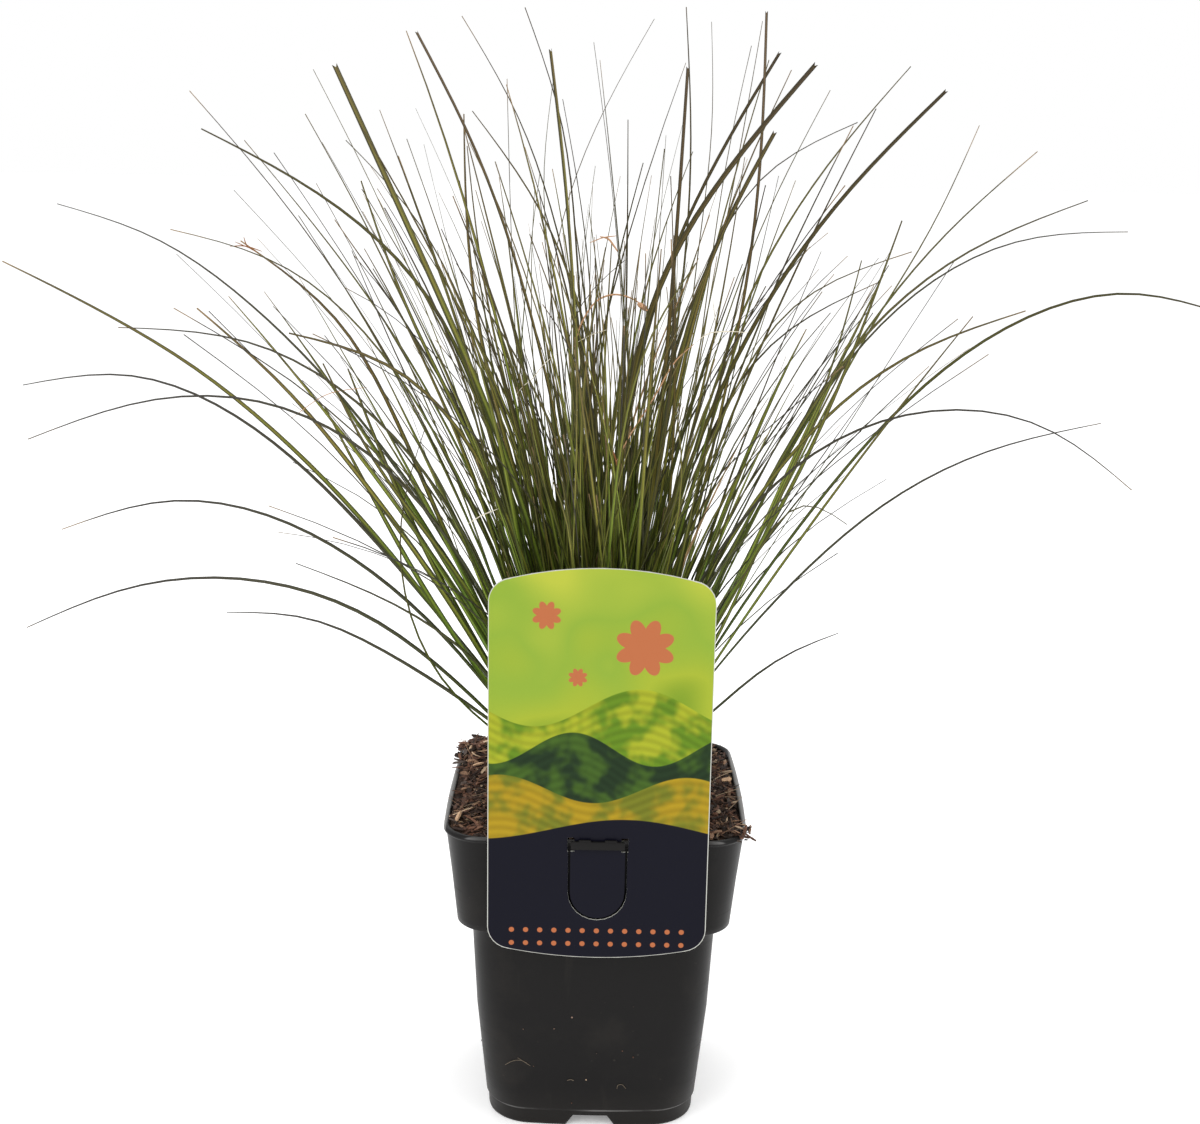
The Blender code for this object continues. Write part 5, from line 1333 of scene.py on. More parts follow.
@dataclass
class Tuft:
    """The tuft: every leaf of the part made fine, with extra leaves among them."""

    segment: float = 13.0 * MM
    most_rings: int = 44
    sway: float = 0.06
    filler_sway: float = 0.032
    least_width: float = 0.34 * MM
    tip_share: float = 0.24
    cut_tip_share: float = 0.62
    cut_tip_notch: float = 0.4
    dry_from: float = 0.86
    draw: np.random.Generator = field(default_factory=lambda: np.random.default_rng(LOOKS_SEED))

    def build(self) -> None:
        """Grow the crown by the part's rule, and make a piece for each shoot."""
        rule = GrowthRule()
        crown = rule.crown()
        thicket = Thicket(crown, rule.leaves(crown))
        thicket.bend_clear()
        blades = thicket.settled()
        thicket.stretch_to_box(blades)
        finish = LeafFinish().material()
        slots = {part["node"]: part["material_slot"] for part in frame["record"]["subparts"]}
        for number, shoot in enumerate(crown):
            slot = slots[shoot.name]
            surface = Surface("leaf", "looks")
            self.add_sheath(surface, shoot)
            own = [blade for blade in blades if blade.shoot == number]
            own += [rule.leader_blade(stray, number, shoot.on_axis(0.5))
                    for bearer, stray in STRAYS if bearer == number]
            for blade in own:
                self.add_leaf(surface, blade, self.look_of(blade.tone or self.tone_in(SLOT_TONES[slot])))
            on_left = shoot.place[0] < SIDE_REACH
            for growth in (BASAL, SLIM, CROSSING, HAIR, LEFT_SIDE)[:5 if on_left else 4]:
                for _ in range(growth.count):
                    look = self.look_of(self.tone_in(growth.tones or SLOT_TONES[slot]))
                    self.add_grown(surface, shoot, growth, look)
            settle(surface.build(f"leaves_{number + 1:02d}", finish, crease=True), shoot.name)
        LOG.info("tuft: %d of the part's leaves on %d shoots", len(blades), len(crown))

    def tone_in(self, tones: tuple) -> Tone:
        """Draw one of some tones."""
        return tones[self.draw.integers(len(tones))]

    def look_of(self, tone: Tone) -> tuple:
        """Draw a leaf's age and brightness within its tone."""
        youngest, oldest, darkest, brightest = tone.value
        return self.draw.uniform(youngest, oldest), self.draw.uniform(darkest, brightest)

    def add_sheath(self, surface: Surface, shoot: Shoot) -> None:
        """Add the sheath: a round rod that narrows upwards and is slightly three-sided."""
        top, lobe, sides = 1.25, 0.14, 9
        shares = np.linspace(-0.9, top, 7)
        points = np.array([shoot.on_axis(share) for share in shares])
        angles = np.linspace(0.0, 2 * math.pi, sides, endpoint=False)
        profile = np.column_stack((np.cos(angles), np.sin(angles))) * (1 + lobe * np.cos(3 * angles))[:, None]
        rise = np.clip(shares, 0.0, top) / top
        halves = SHEATH_RADIUS + (0.3 * SHEATH_TIP_RADIUS - SHEATH_RADIUS) * rise ** 1.5
        across, up = path_frames(points, np.array((1.0, 0.0, 0.0)), np.zeros(len(points)))
        rings = swept(points, across, -up, halves, profile)
        leaf = np.zeros(rings.shape)
        leaf[..., 1] = (rise * 0.1)[:, None]
        surface.add_tube(rings, leaf=leaf, looks=np.array((0.1, 0.9, 0.0)))

    @staticmethod
    def painted_leaf(rings: np.ndarray, shares: np.ndarray, section: Section, greyness: float) -> np.ndarray:
        """The leaf attribute: the place across, the share along, and 1 for green up to 2 for grey."""
        leaf = np.full(rings.shape, 1.0 + greyness)
        leaf[..., 0] = section.across
        leaf[..., 1] = shares[:, None]
        return leaf

    @staticmethod
    def habit_of(blade: Blade) -> Habit:
        """A leading leaf is thick or thin, and any other is a filler."""
        if not blade.leads:
            return FILLER
        return THICK if blade.width > THICK_FROM or blade.slender > 1.0 else THIN

    def add_leaf(self, surface: Surface, blade: Blade, look: tuple) -> None:
        """Add one of the part's leaves: a section along a smooth curve through the part's points.

        The half width rises evenly over the first fifth, then falls by a power of the share along.

        Args:
            surface: the shoot's mesh.
            blade: the part's leaf.
            look: its age and brightness.
        """
        habit = self.habit_of(blade)
        length = np.linalg.norm(np.diff(blade.points, axis=0), axis=1).sum()
        shares = np.linspace(0.0, 1.0, int(np.clip(length / habit.segment, 7, self.most_rings)))
        points = spline(blade.points, shares)
        lean = points[-1] - points[0]
        leaning = math.atan2(abs(lean[0]), lean[2])
        side = np.array((-lean[1], lean[0], 0.0))
        side /= np.linalg.norm(side)
        if habit.sways:
            swing, ripple = self.draw.normal(0.0, (self.filler_sway, 0.3 * self.filler_sway)) * length
            bow = swing * np.sin(math.pi * shares ** 1.2) + ripple * np.sin(2 * math.pi * shares)
            points += side * bow[:, None]
        across, up = path_frames(points, side, blade.turn * habit.turn * shares ** habit.turn_power)
        width = blade.width * blade.slender * habit.at(habit.fineness, leaning)
        cut = blade.blunt and blade.leads
        rise = np.clip(shares / 0.2, 0.0, 1.0)
        fall = np.clip((shares - habit.narrows_from) / (1 - habit.narrows_from), 0.0, 1.0)
        last = self.cut_tip_share if cut else self.tip_share
        halves = width / 2 * (0.75 + 0.25 * rise) * (1 - (1 - last) * fall ** 1.25)
        rings = swept(points, across, up, np.maximum(halves, self.least_width / 2), habit.section.outline)
        if cut:
            run = points[-1] - points[-2]
            keel = habit.section.outline[:, 0] == 0.0
            rings[-1, keel] -= run / np.linalg.norm(run) * width * self.cut_tip_notch
        age, shade = look
        looks = np.zeros(rings.shape)
        looks[...] = (age, min(shade, habit.at(habit.brightest, leaning)), 0.0)
        if not blade.blunt:
            dryness = np.clip((shares - self.dry_from) / (1 - self.dry_from), 0.0, 1.0)
            looks[..., 2] = (dryness * self.draw.uniform(0.0, 0.7))[:, None]
        leaf = self.painted_leaf(rings, shares, habit.section, habit.at(habit.greyness, leaning))
        surface.add_tube(rings, leaf=leaf, looks=looks)

    def grown_route(self, shoot: Shoot, growth: Growth) -> np.ndarray:
        """Draw an extra leaf's route that stays clear of the card and inside the tuft's box.

        Args:
            shoot: the shoot that bears it.
            growth: its kind.

        Returns:
            The points of its middle line.
        """
        draw = self.draw
        outward = shoot.place / CROWN_RADIUS * math.degrees(SHEATH_LEAN) * growth.follows
        root = shoot.on_axis(draw.uniform(*growth.slope))
        for _ in range(40):
            lean = math.radians(growth.lean + outward[0] + draw.normal(0.0, growth.lean_spread))
            depth = math.radians(outward[1] + draw.normal(0.0, growth.depth_spread))
            heading = math.atan2(math.tan(depth), math.tan(lean))
            leaving = 90.0 - math.degrees(math.atan(math.hypot(math.tan(lean), math.tan(depth))))
            length = draw.triangular(*growth.length)
            bend = draw.triangular(*growth.bend)
            shares = np.linspace(0.0, 1.0, int(np.clip(length / self.segment, 6, 14)))
            points = arched(root, heading, length, (leaving, bend), draw.uniform(0.35, 0.65), shares)
            beside = np.array((-math.sin(heading), math.cos(heading), 0.0))
            points += beside * (draw.normal(0.0, self.sway) * length * shares ** 2)[:, None]
            if self.is_clear(points):
                return points
        return points[:3]

    @staticmethod
    def is_clear(points: np.ndarray) -> bool:
        """Whether a route stays in the box, above the rim, and off the card and its front."""
        x, y, z = points.T
        inside = (np.abs(x) < SPREAD_X) & (np.abs(y) < SPREAD_Y) & (z < TUFT_TOP)
        above = (np.hypot(x, y) < CROWN_EDGE) | (z > RIM_CLEARANCE)
        run = np.minimum((y - EYE[1]) / (CARD_FRONT - EYE[1]), 1.0)
        floor = EYE[2] - (EYE[2] - CARD_TOP - CARD_CLEARANCE) * run
        before = (y < BEHIND_CARD) & (np.abs(x) < CARD_HALF + CARD_CLEARANCE) & (z < floor)
        return bool(np.all(inside & above & ~before))

    def add_grown(self, surface: Surface, shoot: Shoot, growth: Growth, look: tuple) -> None:
        """Add an extra leaf: a section along an arched curve, narrowing to a fine tip.

        Args:
            surface: the shoot's mesh.
            shoot: the shoot that bears it.
            growth: its kind.
            look: its age and brightness.
        """
        points = self.grown_route(shoot, growth)
        shares = np.linspace(0.0, 1.0, len(points))
        lean = points[-1] - points[0]
        side = np.array((-lean[1], lean[0], 1e-6))
        side /= np.linalg.norm(side)
        across, up = path_frames(points, side, self.draw.uniform(0.0, math.pi) * shares ** 0.6)
        start, last, power = growth.taper
        width = self.draw.triangular(*growth.width)
        halves = width / 2 * (1 - (1 - last) * np.clip((shares - start) / (1 - start), 0.0, 1.0) ** power)
        section = ROUNDISH if growth.greyness > 0 else CREASED
        rings = swept(points, across, up, halves, section.outline)
        looks = np.zeros(rings.shape)
        dry = float(self.draw.random() < DRY_SHARE)
        looks[..., 0], looks[..., 1] = look
        looks[..., 2] = np.maximum(dry, np.clip((shares - 0.85) / 0.15, 0.0, 1.0)[:, None] * 0.6)
        leaf = self.painted_leaf(rings, shares, section, growth.greyness)
        surface.add_tube(rings, leaf=leaf, looks=looks)


@dataclass(frozen=True)
class Thread:
    """A dry thread: its route in the picture plane in millimetres, its depths, width and colour."""

    route: tuple
    depths: tuple
    width: float
    colour: tuple


TAN = (0.50, 0.28, 0.15)
CREAM = (0.72, 0.66, 0.52)
RUST = (0.30, 0.12, 0.04)
THREADS = (
    Thread(((-9.3, 290.9), (-6.5, 300.0), (0.0, 308.3), (5.1, 309.8), (11.7, 308.3), (16.8, 304.9)),
           (-30, -22), 0.8, TAN),
    Thread(((-30.6, 273.6), (-28.1, 276.6), (-25.2, 278.9), (-20.6, 284.5), (-15.6, 288.6)),
           (-46, -42), 0.42, CREAM),
    Thread(((-8.0, 292.8), (-2.9, 295.4), (2.9, 297.3)), (-44, -44), 0.4, CREAM),
    Thread(((6.0, 248.6), (10.1, 256.8), (19.9, 272.7), (28.4, 286.8), (34.2, 292.0)), (-44, -50), 0.7, TAN),
    Thread(((34.2, 292.0), (38.6, 295.4), (47.2, 296.5), (53.8, 296.1)), (-50, -48), 0.45, CREAM),
    Thread(((4.2, 253.8), (5.6, 250.1), (6.7, 245.7)), (-44, -44), 0.8, RUST),
    Thread(((-113.9, 264.5), (-99.7, 273.7), (-85.1, 276.3)), (-10, -16), 0.4, TAN),
    Thread(((-49.6, 224.9), (-44.1, 228.3), (-37.8, 230.9)), (-52, -50), 0.5, CREAM),
    Thread(((-133.0, 327.0), (-127.8, 327.1), (-121.4, 325.2)), (-8, -4), 0.5, RUST),
    Thread(((-127.8, 330.3), (-126.9, 327.4), (-122.9, 324.6)), (-8, -4), 0.5, RUST),
    Thread(((-131.1, 328.6), (-125.1, 326.0)), (-8, -4), 0.4, RUST),
    Thread(((0.0, 330.4), (2.9, 329.6), (5.1, 327.0), (6.6, 324.8)), (-40, -38), 0.8, TAN),
    Thread(((-3.7, 328.2), (1.1, 330.0), (6.2, 330.7)), (-40, -40), 0.5, TAN),
    Thread(((13.6, 306.6), (15.4, 305.4), (17.3, 304.0)), (-35, -35), 2.4, TAN),
    Thread(((40.8, 308.1), (42.0, 297.0), (41.6, 291.5)), (-30, -30), 0.35, CREAM),
)


@dataclass
class Threads:
    """Dry curls, fibres and cream threads caught among the leaves, and the dry band on a thick leaf."""

    def build(self) -> None:
        """Make them as one piece."""
        surface = Surface("looks")
        for thread in THREADS:
            route = np.array(thread.route, dtype=float)
            depths = np.linspace(*thread.depths, len(route)) * MM
            through = on_picture(route, depths)
            shares = np.linspace(0.0, 1.0, 5 * len(route))
            points = smooth_route(through, shares)
            side = np.array((0.3, 0.9, 0.3)) / math.sqrt(0.99)
            across, up = path_frames(points, side, np.zeros(len(points)))
            halves = thread.width * MM / 2 * (1 - 0.6 * np.abs(2 * shares - 1) ** 3)
            rings = swept(points, across, up, halves, SLIVER)
            surface.add_tube(rings, looks=np.array(thread.colour))
        settle(surface.build("dry_threads", ShredFinish("dry_thread").material()))


def rounded_square(half: float, corner: float, around: int) -> np.ndarray:
    """A ring with rounded corners whose sides swell a little: arcs and straight runs, as (x, y).

    Args:
        half: half the width across the corners' ends.
        corner: the corner's radius.
        around: how many points a side and its corner take together.

    Returns:
        The ring's points, from the middle of the right side leftwards round.
    """
    bend = np.linspace(0.0, math.pi / 2, around // 2)
    straight = half - corner
    arc = np.column_stack((np.cos(bend), np.sin(bend))) * corner + straight
    run = np.linspace(0.0, 1.0, (around - len(bend)) // 2 + 1)[:-1]
    before = np.column_stack((half + SIDE_BULGE * (1 - run ** 2), straight * run))
    side = np.vstack((before, arc, before[1:][::-1][:, ::-1]))
    return np.vstack([side @ np.array(((math.cos(a), math.sin(a)), (-math.sin(a), math.cos(a))))
                      for a in np.arange(4) * math.pi / 2])


def lifted(ring: np.ndarray, height: float | np.ndarray) -> np.ndarray:
    """A flat ring raised to a height, or each of its points to its own."""
    return np.column_stack((ring, np.broadcast_to(height, len(ring))))


@dataclass
class Pot:
    """The square nursery pot: a tapering body, a wider collar with a rolled lip, and a notched foot ring."""

    around: int = 30
    edge: float = 0.6 * MM
    step: float = COLLAR_FOOT - 2.3 * MM
    drain_radius: float = 4.0 * MM
    drain_offset: float = 21.0 * MM
    crumbs: int = 46

    def sections(self) -> list[tuple]:
        """The outline as (half width, corner radius, height), from under the floor, outside and back in."""
        inner = FOOT_RING_HALF - FOOT_RING_WIDTH
        edge, step = self.edge, self.step
        body = np.linspace(0.0, 1.0, 9)[1:]
        halves = np.interp(body, (0.0, 0.5, 1.0), (BODY_FOOT_HALF, BODY_MIDDLE_HALF, BODY_TOP_HALF))
        heights = np.interp(body, (0.0, 0.5, 1.0),
                            (FOOT_RING_HEIGHT + 2 * edge, BODY_MIDDLE, step - 0.4 * MM))
        foot = [
            (6.0 * MM, 3.0 * MM, FLOOR_UNDERSIDE),
            (inner, 15.0 * MM, FLOOR_UNDERSIDE),
            (inner, 15.0 * MM, 0.3 * MM),
            (inner + 0.3 * MM, 15.2 * MM, 0.0),
            (FOOT_RING_HALF - edge, 17.0 * MM, 0.0),
            (FOOT_RING_HALF - 0.2 * MM, 17.0 * MM, 0.3 * MM),
            (FOOT_RING_HALF, 17.0 * MM, 2 * edge),
            (FOOT_RING_HALF + edge / 3, 17.0 * MM, FOOT_RING_HEIGHT - 0.3 * MM),
            (FOOT_RING_HALF + edge / 2, 17.0 * MM, FOOT_RING_HEIGHT),
            (BODY_FOOT_HALF - 0.15 * MM, 16.5 * MM, FOOT_RING_HEIGHT + 0.8 * MM),
            (BODY_FOOT_HALF, 16.5 * MM, FOOT_RING_HEIGHT + 2 * edge),
        ]
        collar = [
            (BODY_TOP_HALF + 0.1 * MM, 13.5 * MM, step - 0.1 * MM),
            (BODY_TOP_HALF + 0.4 * MM, 13.6 * MM, step),
            (COLLAR_FOOT_HALF - 2 * edge, COLLAR_CORNER, step),
            (COLLAR_FOOT_HALF - 0.5 * MM, COLLAR_CORNER, step + 0.25 * MM),
            (COLLAR_FOOT_HALF - 0.2 * MM, COLLAR_CORNER, step + edge),
            (COLLAR_FOOT_HALF, COLLAR_CORNER, COLLAR_FOOT + edge),
            (COLLAR_FOOT_HALF + 1.6 * MM, COLLAR_CORNER, 103.0 * MM),
            (COLLAR_TOP_HALF, COLLAR_CORNER, POT_HEIGHT - LIP_HEIGHT - edge),
            (COLLAR_TOP_HALF + 0.1 * MM, COLLAR_CORNER, POT_HEIGHT - LIP_HEIGHT - 0.2 * MM),
        ]
        inside = [
            (COLLAR_TOP_HALF - WALL, COLLAR_CORNER - WALL, POT_HEIGHT - LIP_HEIGHT),
            (COLLAR_FOOT_HALF - WALL, COLLAR_CORNER - WALL, COLLAR_FOOT + WALL),
            (BODY_TOP_HALF - WALL, 12.4 * MM, COLLAR_FOOT - WALL),
            (BODY_MIDDLE_HALF - WALL, 13.9 * MM, BODY_MIDDLE),
            (BODY_FOOT_HALF - WALL, 15.4 * MM, FLOOR_TOP + WALL),
            (BODY_FOOT_HALF - 2 * WALL, 15.4 * MM, FLOOR_TOP),
            (6.0 * MM, 3.0 * MM, FLOOR_TOP),
        ]
        return [*foot, *zip(halves, (16.5 - 3.0 * body) * MM, heights), *collar, *self.lip_arc(), *inside]

    @staticmethod
    def lip_arc() -> list[tuple]:
        """The rolled lip: a flattened half circle over the wall."""
        inner, outer = COLLAR_TOP_HALF - WALL, RIM_HALF
        middle, reach = (inner + outer) / 2, (outer - inner) / 2
        angles = np.radians(np.linspace(-35.0, 180.0, 9))
        return [(middle + reach * math.cos(a), COLLAR_CORNER, POT_HEIGHT - MM + MM * math.sin(a))
                for a in angles]

    def build(self) -> None:
        """Make the shell, the strap and the specks, and dress them."""
        rings = np.array([lifted(rounded_square(half, corner, self.around), height)
                          for half, corner, height in self.sections()])
        self.cut_notches(rings)
        surface = Surface("looks")
        surface.add_tube(rings, looks=np.zeros(3))
        shell = surface.build("pot_shell", PlasticFinish().material())
        self.drill(shell)
        settle(shell, "pot")
        self.build_strap()
        self.build_specks()

    @staticmethod
    def cut_notches(rings: np.ndarray) -> None:
        """Lift the foot ring's underside over the notches: the low points near each side's middle."""
        near = np.minimum(np.abs(rings[..., 0]), np.abs(rings[..., 1])) < NOTCH_WIDTH / 2
        low = (rings[..., 2] < NOTCH_HEIGHT) & near
        rings[..., 2][low] = NOTCH_HEIGHT

    def drill(self, shell: bpy.types.Object) -> None:
        """Cut the drain holes through the floor."""
        cutter = Surface("looks")
        angles = np.linspace(0.0, 2 * math.pi, 24, endpoint=False)
        circle = np.column_stack((np.cos(angles), np.sin(angles))) * self.drain_radius
        for side_x, side_y in ((1, 1), (-1, 1), (-1, -1), (1, -1)):
            flat = circle + (side_x * self.drain_offset, side_y * self.drain_offset)
            rings = np.array([lifted(flat, height) for height in (FLOOR_UNDERSIDE - MM, FLOOR_TOP + MM)])
            cutter.add_tube(rings, looks=np.zeros(3))
        tool = cutter.build("drain_cutter", shell.data.materials[0])
        cut = shell.modifiers.new("drains", "BOOLEAN")
        cut.object = tool
        cut.solver = "MANIFOLD"
        view = bpy.context.evaluated_depsgraph_get()
        shell.data = bpy.data.meshes.new_from_object(shell.evaluated_get(view))
        shell.modifiers.clear()
        bpy.data.objects.remove(tool, do_unlink=True)

    def build_strap(self) -> None:
        """Make the strap before the card's tongue: a rounded bar, two legs behind and two knobs on top."""
        back, middle = CARD_FRONT - 0.3 * MM, CARD_CENTRE_X
        boxes = [((middle - 9.6 * MM, back - 1.3 * MM, 119.9 * MM),
                  (middle + 9.6 * MM, back, 122.9 * MM), 0.35)]
        for side in (-1.0, 1.0):
            leg, knob = middle + side * 9.05 * MM, middle + side * 4.6 * MM
            boxes.append(((leg - 0.5 * MM, back - 0.65 * MM, 119.95 * MM),
                          (leg + 0.5 * MM, -53.4 * MM, POT_HEIGHT - 0.6 * MM), 0.15))
            boxes.append(((knob - 2.2 * MM, back - 1.1 * MM, 122.4 * MM),
                          (knob + 2.2 * MM, back - 0.2 * MM, 123.5 * MM), 0.3))
        surface = Surface("looks")
        for low, high, bevel in boxes:
            surface.add_tube(self.rounded_box(np.array(low), np.array(high), bevel * MM), looks=np.zeros(3))
        # The strap's plastic has no pale line of wear and painted highlight.
        settle(surface.build("pot_strap", PlasticFinish("strap_plastic", wear_and_sheen_strength=0.0).material()))

    @staticmethod
    def rounded_box(low: np.ndarray, high: np.ndarray, bevel: float) -> np.ndarray:
        """A box with rounded edges: rounded rectangles in (y, z), drawn in at both ends along x.

        Args:
            low: the lowest corner.
            high: the highest corner.
            bevel: the edges' radius.

        Returns:
            The rings, as ring, place in the ring, coordinate.
        """
        middle, half = (low + high) / 2, (high - low) / 2
        bend = np.linspace(0.0, math.pi / 2, 4)
        angles = np.concatenate([bend + quarter * math.pi / 2 for quarter in range(4)])
        centres = np.repeat(np.array(((1, 1), (-1, 1), (-1, -1), (1, -1))), 4, axis=0)
        ends = np.radians(np.array((90.0, 60.0, 30.0, 0.0)))
        draws = np.concatenate((1 - np.cos(ends), (1 - np.cos(ends))[::-1]))
        places = np.concatenate((-half[0] + bevel * (1 - np.sin(ends)),
                                 (half[0] - bevel * (1 - np.sin(ends)))[::-1]))
        rings = []
        for place, drawn in zip(places, draws):
            arc = np.column_stack((np.cos(angles), np.sin(angles))) * bevel * (1 - drawn)
            flat = centres * (half[1:] - bevel) + arc
            rings.append(np.column_stack((np.full(len(flat), middle[0] + place), flat + middle[1:])))
        return np.array(rings)

    def on_front(self, x: float, z: float) -> np.ndarray:
        """The point of the body's front at (x, z), a hair's breadth off it."""
        share = np.clip((z * MM - FOOT_RING_HEIGHT) / (BODY_MIDDLE - FOOT_RING_HEIGHT), 0.0, 1.0)
        half = BODY_FOOT_HALF + (BODY_MIDDLE_HALF - BODY_FOOT_HALF) * share
        bulge = SIDE_BULGE * (1 - (x * MM / (half - 15.0 * MM)) ** 2)
        return np.array((x * MM, -half - max(bulge, 0.0) - 0.12 * MM, z * MM))

    def build_specks(self) -> None:
        """Put crumbs of soil and a few wisps on the pot's outside."""
        draw = np.random.default_rng(LOOKS_SEED + 7)
        surface = Surface("looks")
        for _ in range(self.crumbs):
            angle = draw.integers(0, 4) * math.pi / 2
            x, z = draw.uniform(-24.0, 24.0), draw.uniform(9.0, 76.0)
            turn = np.array(((math.cos(angle), -math.sin(angle), 0.0),
                             (math.sin(angle), math.cos(angle), 0.0), (0.0, 0.0, 1.0)))
            size = draw.triangular(0.10, 0.16, 0.45) * MM
            surface.add_tube(crumb(draw, turn @ self.on_front(x, z), np.full(3, size)),
                             looks=Soil.tint(draw) * 0.8)
        for x, z, size, bright in SMUTS:
            radii = np.array((size, 0.3, size * 0.8)) * MM
            surface.add_tube(crumb(draw, self.on_front(x, z), radii),
                             looks=np.array((0.060, 0.040, 0.030)) * bright)
        for route, width in WISPS:
            points = np.array([self.on_front(x, z) for x, z in route])
            points = smooth_route(points, np.linspace(0.0, 1.0, 4 * len(points)))
            across, up = path_frames(points, np.array((0.0, 0.0, 1.0)), np.zeros(len(points)))
            rings = swept(points, across, up, np.full(len(points), width / 2 * MM), SLIVER)
            surface.add_tube(rings, looks=np.array((0.15, 0.12, 0.085)))
        settle(surface.build("pot_specks", ShredFinish("pot_crumbs").material()))


# Smuts on the pot's front (x, z, size, brightness) and wisps (their routes and widths), in millimetres.
SMUTS = ((15.8, 58.7, 1.3, 0.55), (16.9, 57.6, 0.6, 0.9), (15.2, 55.9, 0.35, 6.0), (-7.3, 47.3, 0.4, 5.0),
         (-13.9, 42.3, 0.35, 2.5), (15.4, 52.0, 0.5, 0.4), (-25.4, 41.6, 0.25, 2.0))
WISPS = (
    (((-32.1, 26.0), (-29.5, 27.6), (-26.5, 28.1), (-22.7, 25.9)), 0.22),
    (((-27.5, 29.2), (-25.8, 28.0), (-24.0, 27.0)), 0.18),
    (((-8.8, 20.1), (-7.6, 20.5), (-6.3, 20.2)), 0.25),
    (((10.0, 16.8), (10.4, 18.4), (11.6, 18.7), (13.4, 16.9)), 0.2),
)


def crumb(draw: np.random.Generator, centre: np.ndarray, radii: np.ndarray) -> np.ndarray:
    """A small lump: the rings of a ball, each point moved in or out at random.

    Args:
        draw: the random stream.
        centre: the lump's middle.
        radii: its half sizes.

    Returns:
        The rings, as ring, place in the ring, coordinate.
    """
    rise = np.radians(np.array((-72.0, -30.0, 25.0, 70.0)))[:, None]
    around = np.linspace(0.0, 2 * math.pi, 6, endpoint=False)[None, :]
    ball = np.stack((np.cos(rise) * np.cos(around), np.cos(rise) * np.sin(around),
                     np.sin(rise) * np.ones_like(around)), axis=-1)
    return centre + ball * radii * draw.uniform(0.7, 1.2, ball.shape[:2])[..., None]


# Pale chips on the soil: where they lie (x, y), their lengths and widths, in millimetres.
CHIPS = ((-50.1, -37.1, 4.2, 3.0), (-46.3, 10.1, 4.4, 2.6), (51.0, 7.4, 3.6, 2.6), (-44.0, 22.0, 6.5, 1.4),
         (20.0, 40.0, 4.0, 2.4), (-15.0, -42.0, 3.6, 2.2), (38.0, 30.0, 3.0, 2.0))


def slab(flatness: float) -> np.ndarray:
    """A flat four-sided section in half widths, a little narrower on top."""
    return np.array(((-1.0, -flatness), (1.0, -flatness), (0.85, flatness), (-0.9, flatness)))


